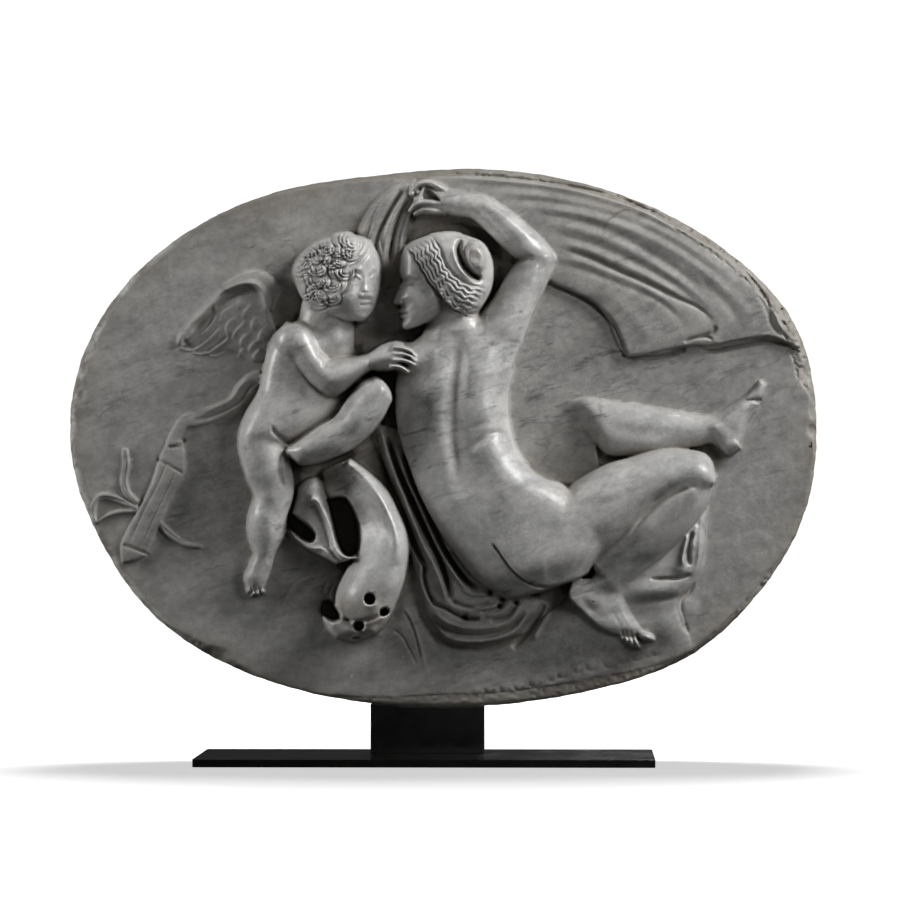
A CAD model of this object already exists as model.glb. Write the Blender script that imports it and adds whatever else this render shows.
# Looks of the oval marble relief on its steel stand. The carving is a field of heights over the
# squared-up drawing, built from rounded limbs, cuts and ridges, and turned into one closed mesh.
import math
import bpy
import numpy as np
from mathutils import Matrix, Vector


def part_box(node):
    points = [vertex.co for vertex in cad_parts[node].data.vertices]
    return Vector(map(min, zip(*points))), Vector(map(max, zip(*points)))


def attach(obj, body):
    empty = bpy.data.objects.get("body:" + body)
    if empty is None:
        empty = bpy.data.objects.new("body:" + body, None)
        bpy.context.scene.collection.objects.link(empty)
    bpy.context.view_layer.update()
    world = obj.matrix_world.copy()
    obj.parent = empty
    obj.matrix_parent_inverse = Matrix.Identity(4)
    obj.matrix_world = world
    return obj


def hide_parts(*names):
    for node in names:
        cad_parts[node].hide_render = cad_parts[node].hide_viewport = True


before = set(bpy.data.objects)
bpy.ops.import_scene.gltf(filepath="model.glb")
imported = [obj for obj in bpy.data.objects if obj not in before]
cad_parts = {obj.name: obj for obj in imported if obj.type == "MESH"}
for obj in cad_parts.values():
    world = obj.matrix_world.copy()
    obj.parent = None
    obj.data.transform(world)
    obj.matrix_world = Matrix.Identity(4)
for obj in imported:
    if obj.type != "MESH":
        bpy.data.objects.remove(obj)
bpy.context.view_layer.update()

# Sizes of the slab, in metres
PLAQUE_WIDTH = 0.996
PLAQUE_HEIGHT = 0.719
SLAB_THICKNESS = 0.060
EDGE_WEAR = 0.005
RIM_FULLNESS = 2.14
RIM_CHANGES = ((25, 14, 0.016), (101, 12, -0.018), (203, 16, -0.021), (308, 13, 0.023))

slab_low, slab_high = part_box("marble_plaque")
BACK = slab_high[1]
GROUND = BACK - SLAB_THICKNESS
CENTRE_HEIGHT = slab_low[2] + PLAQUE_HEIGHT / 2

# The squared-up drawing: places in squares from its top left corner, heights in millimetres
DRAWING_WIDTH = 752
CENTRE_ACROSS, CENTRE_DOWN = 442, 437
SQUARE = PLAQUE_WIDTH / DRAWING_WIDTH
STRETCH = PLAQUE_HEIGHT / (SQUARE * 543)
EYE_ACROSS, EYE_DOWN, EYE_AWAY = 570, 498.6, 4.714
MM = 0.001

# Fineness: size of a cell in squares, and the most triangles of the marble
FINE_CELL, QUICK_CELL = 0.75, 1.5
MOST_TRIANGLES = 197000


# Carving tools: heights in mm above the slab's face, places in squares of the drawing

LEFT, TOP, RIGHT, BOTTOM = 60.0, 160.0, 824.0, 715.0


class Field:
    """Heights over the drawing, one number per cell."""

    def __init__(self, cell):
        self.cell = cell
        self.nx = int(round((RIGHT - LEFT) / cell)) + 1
        self.ny = int(round((BOTTOM - TOP) / cell)) + 1
        self.h = np.zeros((self.ny, self.nx))
        self.x = LEFT + cell * np.arange(self.nx)
        self.y = TOP + cell * np.arange(self.ny)

    def window(self, x0, y0, x1, y1):
        """The cells between two corners, and their places."""
        i0 = max(0, int(math.floor((y0 - TOP) / self.cell)))
        i1 = min(self.ny, int(math.ceil((y1 - TOP) / self.cell)) + 1)
        j0 = max(0, int(math.floor((x0 - LEFT) / self.cell)))
        j1 = min(self.nx, int(math.ceil((x1 - LEFT) / self.cell)) + 1)
        win = (slice(i0, i1), slice(j0, j1))
        gx, gy = np.meshgrid(self.x[win[1]], self.y[win[0]])
        return win, gx, gy

    def around(self, pts, margin):
        """The cells around a path."""
        (x0, y0), (x1, y1) = pts.min(0) - margin, pts.max(0) + margin
        return self.window(x0, y0, x1, y1)

    def melt(self, win, here, top, k):
        """Raises the cells to a surface where it is, melted into what lies below."""
        old = self.h[win]
        self.h[win] = np.where(here, smooth_max(old, np.where(here, top, 0), k), old)


def curve(points, t):
    """Uniform Catmull-Rom through the points at shares t of its length."""
    p = np.asarray(points, float)
    p = np.vstack([2 * p[0] - p[1], p, 2 * p[-1] - p[-2]])
    n = len(points) - 1
    u = np.clip(np.asarray(t, float), 0, 1) * n
    i = np.minimum(u.astype(int), n - 1)
    f = (u - i)[:, None]
    a, b, c, d = p[i], p[i + 1], p[i + 2], p[i + 3]
    square, cube = 2 * a - 5 * b + 4 * c - d, 3 * b - 3 * c + d - a
    return 0.5 * (2 * b + (c - a) * f + square * f ** 2 + cube * f ** 3)


def smooth_max(a, b, k):
    """The higher of two surfaces, with a rounded inner corner."""
    r = np.clip(k - np.abs(a - b), 0, None) / k
    return np.maximum(a, b) + r * r * k / 4


def corners(grid):
    """The corners of the two triangles in each quad."""
    a, b, c, d = grid[:-1, :-1], grid[:-1, 1:], grid[1:, :-1], grid[1:, 1:]
    return np.concatenate([np.stack([a, b, d], -1).reshape(-1, 3), np.stack([a, d, c], -1).reshape(-1, 3)])


def drawn(field, px, py, pz):
    """A surface of quads drawn into a window of the cells, far below where it is not."""
    win, gx, gy = field.window(px.min(), py.min(), px.max(), py.max())
    tall, wide = gx.shape
    x, y, z = corners((px - gx[0, 0]) / field.cell), corners((py - gy[0, 0]) / field.cell), corners(pz)
    first_x = np.clip(np.ceil(x.min(1) - 1e-9).astype(int), 0, wide)
    last_x = np.clip(np.floor(x.max(1) + 1e-9).astype(int) + 1, 0, wide)
    first_y = np.clip(np.ceil(y.min(1) - 1e-9).astype(int), 0, tall)
    last_y = np.clip(np.floor(y.max(1) + 1e-9).astype(int) + 1, 0, tall)
    across = np.maximum(last_x - first_x, 0)
    count = across * np.maximum(last_y - first_y, 0)
    # every cell that the box of each triangle holds
    t = np.repeat(np.arange(len(count)), count)
    order = np.arange(count.sum()) - np.repeat(np.cumsum(count) - count, count)
    i = first_x[t] + order % np.maximum(across[t], 1)
    j = first_y[t] + order // np.maximum(across[t], 1)
    # its shares of the three corners
    xa, ya, za = x[t], y[t], z[t]
    twice = (xa[:, 1] - xa[:, 0]) * (ya[:, 2] - ya[:, 0]) - (xa[:, 2] - xa[:, 0]) * (ya[:, 1] - ya[:, 0])
    good = np.abs(twice) > 1e-9
    twice = np.where(good, twice, 1)
    s1 = ((i - xa[:, 0]) * (ya[:, 2] - ya[:, 0]) - (xa[:, 2] - xa[:, 0]) * (j - ya[:, 0])) / twice
    s2 = ((xa[:, 1] - xa[:, 0]) * (j - ya[:, 0]) - (i - xa[:, 0]) * (ya[:, 1] - ya[:, 0])) / twice
    s0 = 1 - s1 - s2
    good &= (s0 >= -1e-6) & (s1 >= -1e-6) & (s2 >= -1e-6)
    out = np.full(tall * wide, -1e9)
    np.maximum.at(out, (j * wide + i)[good], (s0 * za[:, 0] + s1 * za[:, 1] + s2 * za[:, 2])[good])
    return win, out.reshape(tall, wide)


def limb_surface(ribs, start, end, lean, power):
    """Places and heights of a limb's surface: rows along it, columns across it."""
    ribs = np.array([list(rib) + [rib[4] * 0.35] * (6 - len(rib)) for rib in ribs], float)
    steps, across, caps, ahead = 7, 22, 8, 1e-3
    n = (len(ribs) - 1) * steps
    # share along the limb, reach past its end and width at each row
    rows = [(i / n, 0.0, 1.0) for i in range(n + 1)]
    turns = [(i + 0.02) / caps * math.pi / 2 for i in range(caps)]
    if start > 0:
        rows = [(0.0, -start * math.cos(a), math.sin(a)) for a in turns] + rows
    if end > 0:
        rows += [(1.0, end * math.cos(a), math.sin(a)) for a in turns[::-1]]
    t, out, wide = np.array(rows).T
    left, right, heights = (curve(ribs[:, i:i + 2], t) for i in (0, 2, 4))
    middle = ribs[:, 0:2] + ribs[:, 2:4]
    way = curve(middle, t + ahead) - curve(middle, t - ahead)
    way /= np.linalg.norm(way, axis=1)[:, None] + 1e-12
    turn = np.linspace(0, math.pi, across)
    share = 0.5 + wide[:, None] * (-np.cos(turn)[None] / 2 + lean * np.sin(turn)[None] ** 2)
    px, py = (left[:, i:i + 1] + (right - left)[:, i:i + 1] * share + way[:, i:i + 1] * out[:, None]
              for i in (0, 1))
    crown, rim = heights[:, :1], heights[:, 1:]
    return px, py, rim + (crown - rim) * np.sin(turn)[None] ** (2 * power) * wide[:, None] ** 0.5


def limb(field, ribs, k=3.0, start=0, end=0, lean=0.0, power=0.5):
    """A rounded form through ribs: left and right ends, height of the crown and of the sides."""
    win, top = drawn(field, *limb_surface(ribs, start, end, lean, power))
    field.melt(win, top > -1e8, top, k)


def path_distance(gx, gy, pts):
    """Distance to a path, share along it, and the side, positive to the left when walking with y down."""
    lengths = np.linalg.norm(np.diff(pts, axis=0), axis=1)
    total = np.cumsum(np.concatenate([[0], lengths]))
    best = np.full(gx.shape, 1e9)
    along, side = np.zeros(gx.shape), np.ones(gx.shape)
    for i, length in enumerate(lengths):
        if length < 1e-9:
            continue
        sx, sy = pts[i + 1] - pts[i]
        dx, dy = gx - pts[i, 0], gy - pts[i, 1]
        share = np.clip((dx * sx + dy * sy) / length ** 2, 0, 1)
        distance = np.hypot(dx - share * sx, dy - share * sy)
        nearer = distance < best
        best = np.where(nearer, distance, best)
        along = np.where(nearer, (total[i] + share * length) / total[-1], along)
        side = np.where(nearer, np.sign(sx * dy - sy * dx), side)
    return best, along, side


def smooth_path(points, count=None):
    return curve(points, np.linspace(0, 1, count or max(8, (len(points) - 1) * 6)))


def closed_path(points):
    return smooth_path(list(points) + [points[0]], len(points) * 8)


def taper(along, ends):
    """1 in the middle, falling to 0 over the first and last shares."""
    weight = np.ones_like(along)
    for share, run in zip(ends, (along, 1 - along)):
        if share > 0:
            weight = weight * np.clip(run / share, 0, 1) ** 0.7
    return weight


def line(field, points, width, depth, ends=(0.15, 0.15), sharp=2.0, mask=None):
    """A groove (depth < 0) or ridge (depth > 0) with a rounded section along a smooth path."""
    pts = smooth_path(points)
    win, gx, gy = field.around(pts, width * 3 + 2)
    distance, along, _ = path_distance(gx, gy, pts)
    amount = depth * np.exp(-(distance / width) ** sharp) * taper(along, ends)
    field.h[win] += amount if mask is None else amount * mask[win]


def lines(field, strokes, ends=(0.15, 0.15)):
    for points, width, depth in strokes:
        line(field, points, width, depth, ends)


def step(field, points, width, height, ends=(0.2, 0.2), side=1, edge=0.8):
    """Raises one side of a path, falling off away from it: an overlapping edge."""
    pts = smooth_path(points)
    win, gx, gy = field.around(pts, width * 2.5 + 2)
    distance, along, which = path_distance(gx, gy, pts)
    over = distance * which * side
    beside = (along > 1e-6) & (along < 1 - 1e-6)
    rise = 1 / (1 + np.exp(-np.clip(over / edge, -30, 30)))
    field.h[win] += height * rise * np.exp(-np.clip(over, 0, None) / width) * taper(along, ends) * beside


def oval_share(field, x, y, rx, ry, turn, margin):
    """Squared distance from the middle of a turned oval, 1 on the oval itself."""
    win, gx, gy = field.window(x - margin, y - margin, x + margin, y + margin)
    c, s = math.cos(math.radians(turn)), math.sin(math.radians(turn))
    u = ((gx - x) * c + (gy - y) * s) / rx
    v = (-(gx - x) * s + (gy - y) * c) / ry
    return win, u * u + v * v


def bump(field, x, y, rx, ry, amount, turn=0.0, mask=None, sharp=2.0):
    """A soft swelling or hollow, its long axis turned by an angle in degrees."""
    win, share = oval_share(field, x, y, rx, ry, turn, 2.6 * max(rx, ry))
    add = amount * np.exp(-share ** (sharp / 2))
    field.h[win] += add if mask is None else add * mask[win]


def bumps(field, rows):
    for row in rows:
        bump(field, *row)


def ball(field, x, y, rx, ry, crown, base, turn=0.0, k=2.0):
    """A dome with an oval foot, melted into what lies round it."""
    win, share = oval_share(field, x, y, rx, ry, turn, max(rx, ry) + 1)
    field.melt(win, share < 1, base + (crown - base) * np.sqrt(np.clip(1 - share, 0, 1)), k)


def depth_inside(field, outline, margin):
    """How far inside a closed smooth outline each cell lies, below zero outside it."""
    pts = closed_path(outline)
    win, gx, gy = field.around(pts, margin)
    distance, _, _ = path_distance(gx, gy, pts)
    inside = np.zeros(gx.shape, bool)
    for (x0, y0), (x1, y1) in zip(pts[:-1], pts[1:]):
        if y0 != y1:
            inside ^= ((y0 > gy) != (y1 > gy)) & (gx < x0 + (gy - y0) * (x1 - x0) / (y1 - y0))
    return win, np.where(inside, distance, -distance)


def cut(field, outline, floor, soft=1.0):
    """Lowers everything inside an outline down to a floor."""
    win, depth = depth_inside(field, outline, soft * 3)
    share = np.clip(0.5 + depth / (2 * soft), 0, 1)
    field.h[win] = field.h[win] * (1 - share) + np.minimum(field.h[win], floor) * share


def mass(field, outline, crown, rim, radius, k=3.0):
    """An inflated outline: rounds up from the rim to a flat crown over a radius."""
    win, depth = depth_inside(field, outline, 1)
    top = rim + (crown - rim) * np.sqrt(1 - (1 - np.clip(depth / radius, 0, 1)) ** 2)
    field.melt(win, depth > 0, top, k)


def blur(a, sigma):
    """The grid softened by a bell curve some cells wide."""
    n = max(1, int(math.ceil(sigma * 3)))
    w = np.exp(-0.5 * (np.arange(-n, n + 1) / sigma) ** 2)
    w /= w.sum()
    p = np.pad(a, n, mode="edge")
    q = sum(w[i] * p[:, i:i + a.shape[1]] for i in range(2 * n + 1))
    return sum(w[i] * q[i:i + a.shape[0], :] for i in range(2 * n + 1))


def strands(field, inner, outer, count, wave, length, width, height, ends=(0.12, 0.12), shift=0.6):
    """Waved locks laid side by side between two guide lines."""
    t = np.linspace(0, 1, 60)
    a, b = curve(inner, t), curve(outer, t)
    for i in range(count):
        mid = a + (b - a) * (i + 0.5) / count
        way = np.gradient(mid, axis=0)
        way /= np.linalg.norm(way, axis=1)[:, None] + 1e-9
        across = np.stack([-way[:, 1], way[:, 0]], -1)
        run = np.concatenate([[0], np.cumsum(np.linalg.norm(np.diff(mid, axis=0), axis=1))])
        path = mid + across * (wave * np.sin(2 * math.pi * run / length + i * shift))[:, None]
        line(field, path[::3], width, height, ends=ends)


def noise(field, spacing, seed):
    """Smooth random unevenness between about -1 and 1, with spots some squares apart."""
    rng = np.random.default_rng(seed)
    rows = int((BOTTOM - TOP) / spacing) + 4
    cols = int((RIGHT - LEFT) / spacing) + 4
    grid = rng.normal(0, 0.6, (rows, cols))
    u, v = (field.x - LEFT) / spacing + 1, (field.y - TOP) / spacing + 1
    j, i = u.astype(int), v.astype(int)
    fu, fv = u - j, v - i
    fu, fv = fu * fu * (3 - 2 * fu), (fv * fv * (3 - 2 * fv))[:, None]
    top = grid[i][:, j] * (1 - fu) + grid[i][:, j + 1] * fu
    low = grid[i + 1][:, j] * (1 - fu) + grid[i + 1][:, j + 1] * fu
    return top * (1 - fv) + low * fv

# The outline of the slab

def rim_reach(angle):
    """Distance from the middle to the rim as a share of the half sizes, in the stretched oval."""
    c, s = np.cos(angle), np.sin(angle)
    reach = (np.abs(c) ** RIM_FULLNESS + np.abs(s) ** RIM_FULLNESS) ** (-1 / RIM_FULLNESS)
    degrees = np.degrees(angle) % 360
    for at, spread, share in RIM_CHANGES:
        reach = reach * (1 + share * np.exp(-((degrees - at) / spread) ** 2))
    # small unevenness left by the hammer, always inside the oval
    rough = (np.sin(angle * 37) * 0.3 + np.sin(angle * 61 + 1.3) * 0.3 + np.sin(angle * 113 + 2.1) * 0.25
             + np.sin(angle * 191 + 0.4) * 0.15)
    return reach * (1 - 0.0052 - 0.0016 * rough)


def rim_share(across, down):
    """How far out a place is, 1 at the rim, and its direction."""
    u = (across - CENTRE_ACROSS) * SQUARE / (PLAQUE_WIDTH / 2)
    v = (CENTRE_DOWN - down) * SQUARE * STRETCH / (PLAQUE_HEIGHT / 2)
    angle = np.arctan2(v, u)
    return np.hypot(u, v) / rim_reach(angle), angle


# The rock and the cloths

def rocks(f):
    limb(f, [[640, 505, 708, 503, 24, 8], [632, 528, 706, 524, 28, 8], [610, 552, 704, 550, 30, 8],
             [584, 580, 694, 580, 28, 7], [560, 604, 680, 602, 23, 6], [520, 630, 684, 622, 15, 2],
             [490, 650, 690, 640, 7, -3], [470, 680, 696, 662, -5, -8]], k=6)
    bumps(f, [(600, 650, 95, 26, 6, -14), (560, 636, 60, 22, 5, -20)])
    bumps(f, [(668, 520, 22, 14, 5, -30), (690, 548, 9, 26, 6, 6), (655, 590, 26, 9, 6, -6),
             (640, 560, 24, 12, -7, -50), (684, 604, 9, 12, 4, 0), (662, 540, 12, 14, -4, 20),
             (648, 612, 20, 10, -3, -10), (668, 628, 12, 16, 4, 10), (655, 600, 22, 4, -5, -8)])
    lines(f, [
        ([(704, 510), (701, 528), (700, 548), (698, 566), (692, 578)], 3.2, 6),
        ([(697, 524), (694, 536), (692, 548)], 2.2, 4),
        ([(688, 534), (685, 546), (682, 558), (683, 566)], 2.0, 5),
        ([(693, 532), (690, 541), (688, 552), (689, 566)], 2.2, -9),
    ])
    line(f, [(650, 579), (665, 578.6), (680, 578), (690, 574)], 1.4, -7, ends=(0.2, 0.1))
    lines(f, [
        ([(655, 548), (668, 540), (676, 528)], 2.0, -3),
        ([(694, 582), (689, 592), (681, 598), (678, 607), (681, 620), (688, 634)], 2.4, -4),
    ])
    bump(f, 682, 569, 8, 6, 4)


def heaped_cloth(f):
    limb(f, [[366, 420, 402, 430, 14, 2], [380, 456, 414, 470, 18, 4], [394, 496, 432, 512, 21, 5],
             [408, 546, 470, 556, 24, 7], [420, 588, 520, 590, 27, 8], [428, 616, 548, 604, 27, 8],
             [446, 640, 534, 628, 20, 5]], end=8, k=5)
    lines(f, [
        # long strands beside her back
        ([(374, 430), (383, 462), (397, 500), (413, 540), (428, 572)], 2.6, -17),
        ([(380, 428), (390, 462), (404, 498), (421, 540), (434, 566), (443, 590), (446, 602)], 2.2, 12),
        ([(387, 436), (397, 468), (411, 500), (424, 527), (440, 560), (447, 582), (450, 600)], 2.6, -21),
        ([(396, 446), (406, 476), (421, 508), (437, 545), (452, 570), (464, 588)], 1.9, 12),
        ([(404, 452), (414, 484), (430, 520), (446, 552), (462, 576), (478, 590)], 2.6, -19),
        ([(420, 500), (434, 528), (452, 556), (468, 576), (484, 588)], 1.5, 7),
        # the leaf-shaped hollow and the loops under the seat
        ([(425, 566), (425, 580), (429, 594), (435, 605)], 1.9, -12),
        ([(422, 560), (420, 576), (424, 592), (430, 604)], 1.8, 4),
        ([(432, 604), (445, 608), (455, 614), (466, 619), (480, 619)], 2.0, -11),
        ([(450, 600), (462, 606), (476, 608), (490, 603)], 2.0, -8),
        ([(462, 590), (474, 595), (488, 594)], 1.5, 4),
        ([(470, 607), (486, 609), (497, 604), (503, 597)], 1.8, 4),
        ([(480, 612), (494, 610), (504, 604)], 1.6, -6),
        ([(486, 616), (500, 613), (510, 605)], 1.8, 4),
        ([(490, 621), (506, 617), (516, 606)], 1.8, -8),
        ([(433, 612), (446, 622), (464, 628), (486, 628), (508, 622), (521, 607)], 2.2, 5),
        ([(432, 620), (446, 630), (465, 635), (486, 635), (508, 629), (525, 612)], 2.0, -7),
        ([(432, 627), (448, 638), (468, 642), (490, 641), (513, 632), (530, 612)], 2.2, 5),
        ([(438, 636), (454, 646), (474, 649), (494, 647), (516, 637), (534, 614)], 2.4, -6),
        ([(454, 604), (466, 609), (478, 609), (490, 604)], 2.0, 3),
        ([(545, 601), (541, 611), (534, 624), (525, 636), (512, 648)], 2.6, -10),
        ([(551, 598), (548, 612), (541, 626), (532, 640)], 2.4, 4),
        ([(418, 600), (421, 615), (428, 630), (440, 645)], 3.0, -3),
    ], ends=(0.12, 0.12))
    for x, y, r in [(490, 593, 2.2), (502, 600, 2.6), (499, 606, 2.0), (516, 603, 2.2), (465, 617, 2.6)]:
        bump(f, x, y, r, r, -16)


def hanging_cloth(f):
    limb(f, [[414, 178, 426, 190, 22, 9], [390, 186, 416, 204, 23, 9], [369, 210, 410, 216, 22, 8],
             [357, 236, 406, 240, 17, 4], [362, 258, 404, 256, 12, 1],
             [372, 288, 398, 286, 2, -6]], k=3)
    line(f, [(362, 236), (371, 216), (382, 200), (396, 188), (412, 181)], 4.0, 4, ends=(0.1, 0.1))
    lines(f, [
        ([(402, 190), (393, 203), (385, 218), (377, 238), (374, 262)], 1.6, -8),
        ([(411, 196), (404, 205), (398, 218), (392, 240), (390, 266)], 1.7, -9),
        ([(396, 190), (386, 204), (378, 218), (371, 236), (369, 256)], 1.5, 3),
        ([(407, 193), (399, 205), (391, 220), (385, 240), (383, 268)], 1.8, 4),
        ([(390, 189), (378, 206), (370, 222), (366, 240)], 1.4, -3),
        ([(416, 199), (411, 210), (405, 224), (401, 240), (399, 262)], 1.7, 4),
        ([(420, 205), (416, 214), (410, 224)], 1.5, -6),
        ([(392, 240), (389, 252), (388, 264)], 1.4, -4),
        ([(378, 238), (380, 250), (383, 262)], 1.4, 3),
    ], ends=(0.15, 0.4))


def sail(f):
    limb(f, [[400, 192, 396, 184, 5, 0], [425, 198, 425, 176, 8, 3], [450, 208, 450, 175, 10, 5],
             [475, 214, 478, 176.5, 11, 6], [500, 226, 505, 178, 12, 6], [525, 250, 540, 182, 12, 6],
             [549, 280, 572, 188, 12, 6], [590, 299, 615, 200, 12, 7], [608, 320, 636, 207, 12, 7],
             [626, 355, 657, 216, 12, 7],
             [655, 352, 690, 234, 12, 7], [688, 346, 720, 251, 12, 7], [713, 345, 745, 269, 11, 7],
             [745, 339, 770, 287, 11, 7], [775, 338, 786, 303, 10, 6], [801, 352, 797, 320, 8, 5]],
         k=3, power=0.28)
    furrows = [
        # a smooth path, its width and depth
        ([(440, 182), (470, 184), (498, 186), (530, 189), (570, 196), (610, 206), (650, 222), (700, 248),
          (745, 280), (775, 312)], 4.5, -4.0),
        ([(503, 200), (530, 200), (560, 203), (590, 208), (620, 217), (650, 230), (685, 250),
         (715, 275)], 4.6, -4.5),
        ([(535, 213), (560, 217), (590, 224), (620, 236), (650, 253), (685, 276), (720, 306)], 4.8, -4.2),
        ([(548, 233), (575, 239), (600, 247), (640, 265), (675, 285), (712, 315)], 4.4, -3.6),
        ([(562, 251), (580, 254), (600, 263), (620, 273), (650, 285), (670, 295), (690, 305),
         (717, 328)], 4.0, -4.4),
        ([(556, 265), (580, 269), (600, 276), (620, 284), (640, 292), (660, 302), (678, 317),
         (686, 331)], 3.6, -3.4),
        ([(640, 216), (680, 234), (720, 258), (755, 290)], 2.2, -1.6),
        ([(700, 280), (728, 306), (742, 330)], 4.0, -2.4),
    ]
    swells = [
        ([(460, 178), (500, 180), (540, 184), (580, 191), (620, 201), (660, 217), (705, 240),
         (750, 272)], 2.6, 2.6),
        ([(500, 193), (535, 195), (575, 202), (615, 212), (655, 228), (700, 254), (740, 285)], 4.4, 3.2),
        ([(520, 206), (550, 209), (590, 216), (625, 227), (660, 243), (700, 268), (735, 298)], 4.2, 3.2),
        ([(545, 222), (575, 228), (610, 240), (645, 258), (685, 285), (715, 310)], 4.0, 2.8),
        ([(556, 243), (580, 247), (610, 259), (645, 275), (680, 296), (705, 319)], 3.6, 2.8),
        ([(556, 258), (580, 261), (605, 270), (635, 282), (662, 297), (682, 316)], 3.0, 2.4),
        ([(600, 290), (622, 305), (640, 325), (650, 345)], 7.0, 2.0),
        ([(690, 262), (720, 284), (745, 310), (756, 330)], 5.0, 2.2),
    ]
    for path, width, depth in furrows + swells:
        line(f, path, width, depth * 0.46, ends=(0.12, 0.3))
    # the one deep fold, and the upper edge towards the rim
    lines(f, [
        ([(566, 250), (590, 257), (620, 271), (650, 284), (680, 299), (700, 309), (714, 322)], 1.8, -2.6),
        ([(470, 175.5), (530, 180.5), (603, 193), (665, 218), (727, 255), (764, 296),
          (772, 326)], 1.5, -4),
    ])
    line(f, [(688, 344), (700, 340), (713, 340), (724, 345), (745, 337), (765, 334), (785, 340), (800, 350)],
         2.4, 1.0, ends=(0.05, 0.05))
    line(f, [(684, 342), (694, 338), (706, 337), (713, 340)], 1.4, -5)
    # the undercut below its lower edge
    for path in [[(548, 283), (570, 292), (589, 302), (604, 314), (614, 327), (620, 341), (626, 357)],
                 [(626, 358), (640, 357), (655, 357), (672, 354), (686, 349)],
                 [(700, 350), (715, 351), (735, 347), (765, 342), (792, 346)]]:
        line(f, path, 1.9, -7, ends=(0.1, 0.05))
    lines(f, [
        ([(700, 337), (712, 333), (716, 326)], 2.0, -4),
        ([(783, 337), (772, 326), (768, 315), (764, 304), (756, 294)], 1.6, -2),
        ([(790, 338), (779, 324), (774, 310)], 1.8, 3),
    ])


# Quiver, strap and ribbons

def ribbon(f, path, end=2, power=0.35, side=None):
    """A limb along a path of places, widths and heights; its sides start so far below the crown."""
    ribs = []
    for i, (x, y, w, h) in enumerate(path):
        x0, y0 = path[max(0, i - 1)][:2]
        x1, y1 = path[min(len(path) - 1, i + 1)][:2]
        n = math.hypot(x1 - x0, y1 - y0)
        dx, dy = (x1 - x0) / n, (y1 - y0) / n
        low = h * 0.3 if side is None else h - side
        ribs.append([x - dy * w / 2, y + dx * w / 2, x + dy * w / 2, y - dx * w / 2, h, low])
    limb(f, ribs, k=1.5, end=end, power=power)


def quiver(f):
    strap = [(262, 376, 12, 7), (252, 380, 15, 7), (243, 390, 17, 6.5), (232, 404, 15, 6),
             (212, 414, 16, 5.5),
             (196, 419, 15, 5.5), (184, 422, 13, 5.5), (176, 432, 11, 6), (171, 444, 12, 7)]
    ribbon(f, strap)
    lines(f, [
        ([(258, 381), (248, 388), (240, 400), (230, 407), (210, 416), (192, 421)], 1.8, -3.5),
        ([(250, 378), (240, 386), (232, 398), (218, 406), (200, 413)], 1.4, 2),
    ])
    ribbon(f, [(137, 503, 6, 6), (127, 494, 7, 6), (123, 482, 7, 6), (125, 466, 7, 5), (124, 450, 6, 4)])
    ribbon(f, [(137, 509, 5, 6), (113, 498, 7, 6), (99, 497, 7, 6), (92, 508, 6, 5), (93, 522, 5, 4)])
    ribbon(f, [(138, 511, 4, 5), (118, 512, 5, 5), (104, 517, 4, 4), (95, 523, 3, 3)])
    ribbon(f, [(158, 523, 7, 6), (170, 535, 7, 6), (184, 544, 6, 5), (200, 547, 4, 3)])
    for pts in [[(127, 494), (123, 482), (125, 466), (124, 452)], [(128, 504), (113, 499), (100, 498),
                (93, 508)],
                [(162, 527), (171, 535), (184, 543)]]:
        line(f, pts, 1.1, -2.2)
    limb(f, [[168, 440, 182, 441, 6, 2], [160, 455, 184, 470, 8.5, 3], [150, 485, 172, 497, 8.5, 3],
             [136, 512, 160, 523, 8.5, 3], [121, 543, 147, 552, 8, 3], [121, 562, 140, 558, 6, 2]], k=1.5,
             end=2, power=0.3)
    lines(f, [
        ([(169, 447), (178, 446), (183, 441)], 1.3, -4),
        ([(158, 460), (170, 466), (181, 473)], 1.2, -3),
        ([(123, 545), (134, 549), (146, 554)], 1.2, -3.5),
    ], ends=(0, 0))
    lines(f, [
        ([(166, 461), (156, 485), (142, 512), (128, 543)], 1.2, -2),
        ([(176, 467), (166, 489), (153, 516), (138, 549)], 1.2, -1.5),
    ])


# The winged child

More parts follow.
